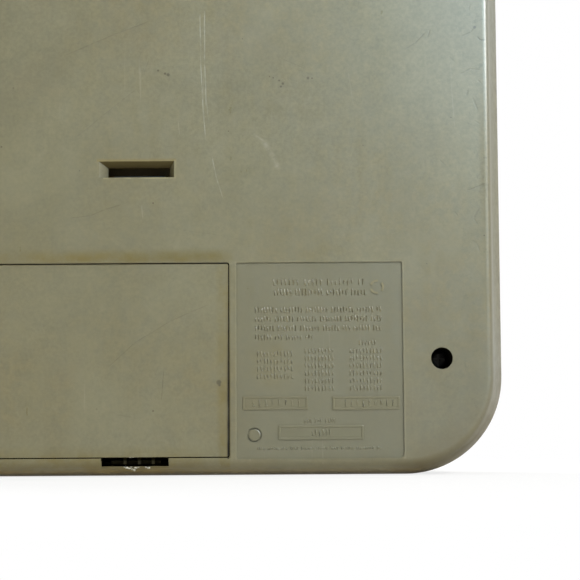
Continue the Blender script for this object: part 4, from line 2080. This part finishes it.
# ------------------------------------------------------------------ stage
def stage_material():
    """White floor that runs out, for the camera, into the white of the background."""
    mat = Mat("studio_floor")
    mat.mottle(mat.noise(3.0, detail=2.0), (0.86, 0.86, 0.85), (0.88, 0.88, 0.87))
    material = mat.finish(rough=0.85, spec=0.1, emit=(1, 1, 1), emit_s=0.12)
    distance = mat.vmath("LENGTH", mat.position)
    white = (distance.fade(0.05, 0.30, to=(0.72, 1.0), smooth=True)
             * mat.output("LightPath", "Is Camera Ray"))
    mat.mix_shaders(white, mat.bsdf.outputs[0], mat.node("Emission").outputs[0])
    return material


FLOOR_HALF, FLOOR_Z = 4000, -0.05
floor = mesh_obj("floor", [(x * FLOOR_HALF, y * FLOOR_HALF, FLOOR_Z)
                           for x, y in ((-1, -1), (1, -1), (1, 1), (-1, 1))], [(0, 1, 2, 3)])
paint(floor, stage_material())


# ------------------------------------------------------------------ lights, in metres and watts
def area(name, at, target, size, power, color=(1, 1, 1), size_y=None, hide=None):
    """Area light. hide: the kind of ray, glossy or diffuse, that misses it."""
    light = bpy.data.lights.new(name, "AREA")
    light.shape = "RECTANGLE" if size_y else "SQUARE"
    light.size = size
    if size_y:
        light.size_y = size_y
    light.energy = power
    light.color = color
    obj = add_object(name, light)
    obj.location = at
    obj.rotation_euler = (Vector(target) - Vector(at)).to_track_quat("-Z", "Y").to_euler()
    if hide:
        setattr(obj, "visible_" + hide, False)


area("key_back", at=(-0.62, 0.86, 0.78), target=(-0.06, 0.02, 0.10), size=0.26, power=10.3,
     color=(1.0, 0.985, 0.95), hide="glossy")
area("fill_back", at=(0.62, 0.75, 0.20), target=(0.03, 0.0, 0.08), size=0.9, power=1.1,
     color=(1.0, 0.975, 0.93), hide="glossy")
area("flank_sheen", at=(-0.75, -0.65, 0.35), target=(-0.1, 0.0, 0.12), size=0.9, power=1.5,
     color=(0.97, 0.99, 1.0), hide="diffuse")
# a large cool window above on the low-x side, seen only as sheen on the satin plastic
area("window_sheen", at=(-0.57, 0.95, 0.70), target=(-0.09, 0.02, 0.16), size=0.80, power=22.0,
     color=(0.62, 0.87, 1.0), hide="diffuse")
area("crease_glint", at=(-1.10, 0.78, 0.70), target=(-0.10, 0.02, 0.13), size=0.30, power=34.0,
     color=(0.94, 0.99, 1.0), size_y=0.55, hide="diffuse")
area("key_front", at=(0.55, -0.80, 0.70), target=(0.0, 0.0, 0.14), size=0.6, power=10.5,
     color=(1.0, 0.985, 0.96))
area("fill_front", at=(-0.75, -0.65, 0.35), target=(0.0, 0.0, 0.14), size=0.9, power=4.8,
     color=(0.96, 0.98, 1.0), hide="glossy")
area("top", at=(0.0, 0.0, 1.1), target=(0.0, 0.0, 0.1), size=0.8, power=4.0)


def build_world():
    """White to the camera, a weak cool ambient to everything else."""
    world = bpy.data.worlds.new("world")
    bpy.context.scene.world = world
    world.use_nodes = True
    world.node_tree.nodes.clear()
    tree = Tree(world.node_tree)
    result = tree.node("OutputWorld")
    seen, ambient = tree.node("Background"), tree.node("Background")
    for node, colour, strength in ((seen, (1, 1, 1, 1), 1.0), (ambient, (0.97, 0.98, 1.0, 1), 0.15)):
        node.inputs[0].default_value = colour
        node.inputs[1].default_value = strength
    mixer = tree.node("MixShader")
    tree.put(mixer.inputs[0], tree.output("LightPath", "Is Camera Ray"))
    tree.put(mixer.inputs[1], ambient.outputs[0])
    tree.put(mixer.inputs[2], seen.outputs[0])
    tree.put(result.inputs[0], mixer.outputs[0])


def build_camera():
    """Looks at the back along -Y, pitched up a little, with +X to its left."""
    data = bpy.data.cameras.new("camera")
    data.sensor_width = 36.0
    data.lens = 93.10344828
    data.clip_start = 0.01
    data.clip_end = 50.0
    camera = add_object("camera", data)
    pitch, roll = math.radians(5.49), math.radians(0.37)
    level_right = Vector((-1, 0, 0))
    level_up = Vector((0, math.sin(pitch), math.cos(pitch)))
    forward = Vector((0, -math.cos(pitch), math.sin(pitch)))
    right = level_right * math.cos(roll) - level_up * math.sin(roll)
    up = level_right * math.sin(roll) + level_up * math.cos(roll)
    pose = Matrix.Identity(4)
    for i in range(3):
        pose[i][0], pose[i][1], pose[i][2] = right[i], up[i], -forward[i]
    pose.translation = Vector((-0.04437, 0.4533, 0.01183))
    camera.matrix_world = pose
    bpy.context.scene.camera = camera


build_world()
build_camera()
bpy.context.scene.view_settings.view_transform = "Standard"
bpy.context.scene.view_settings.look = "None"
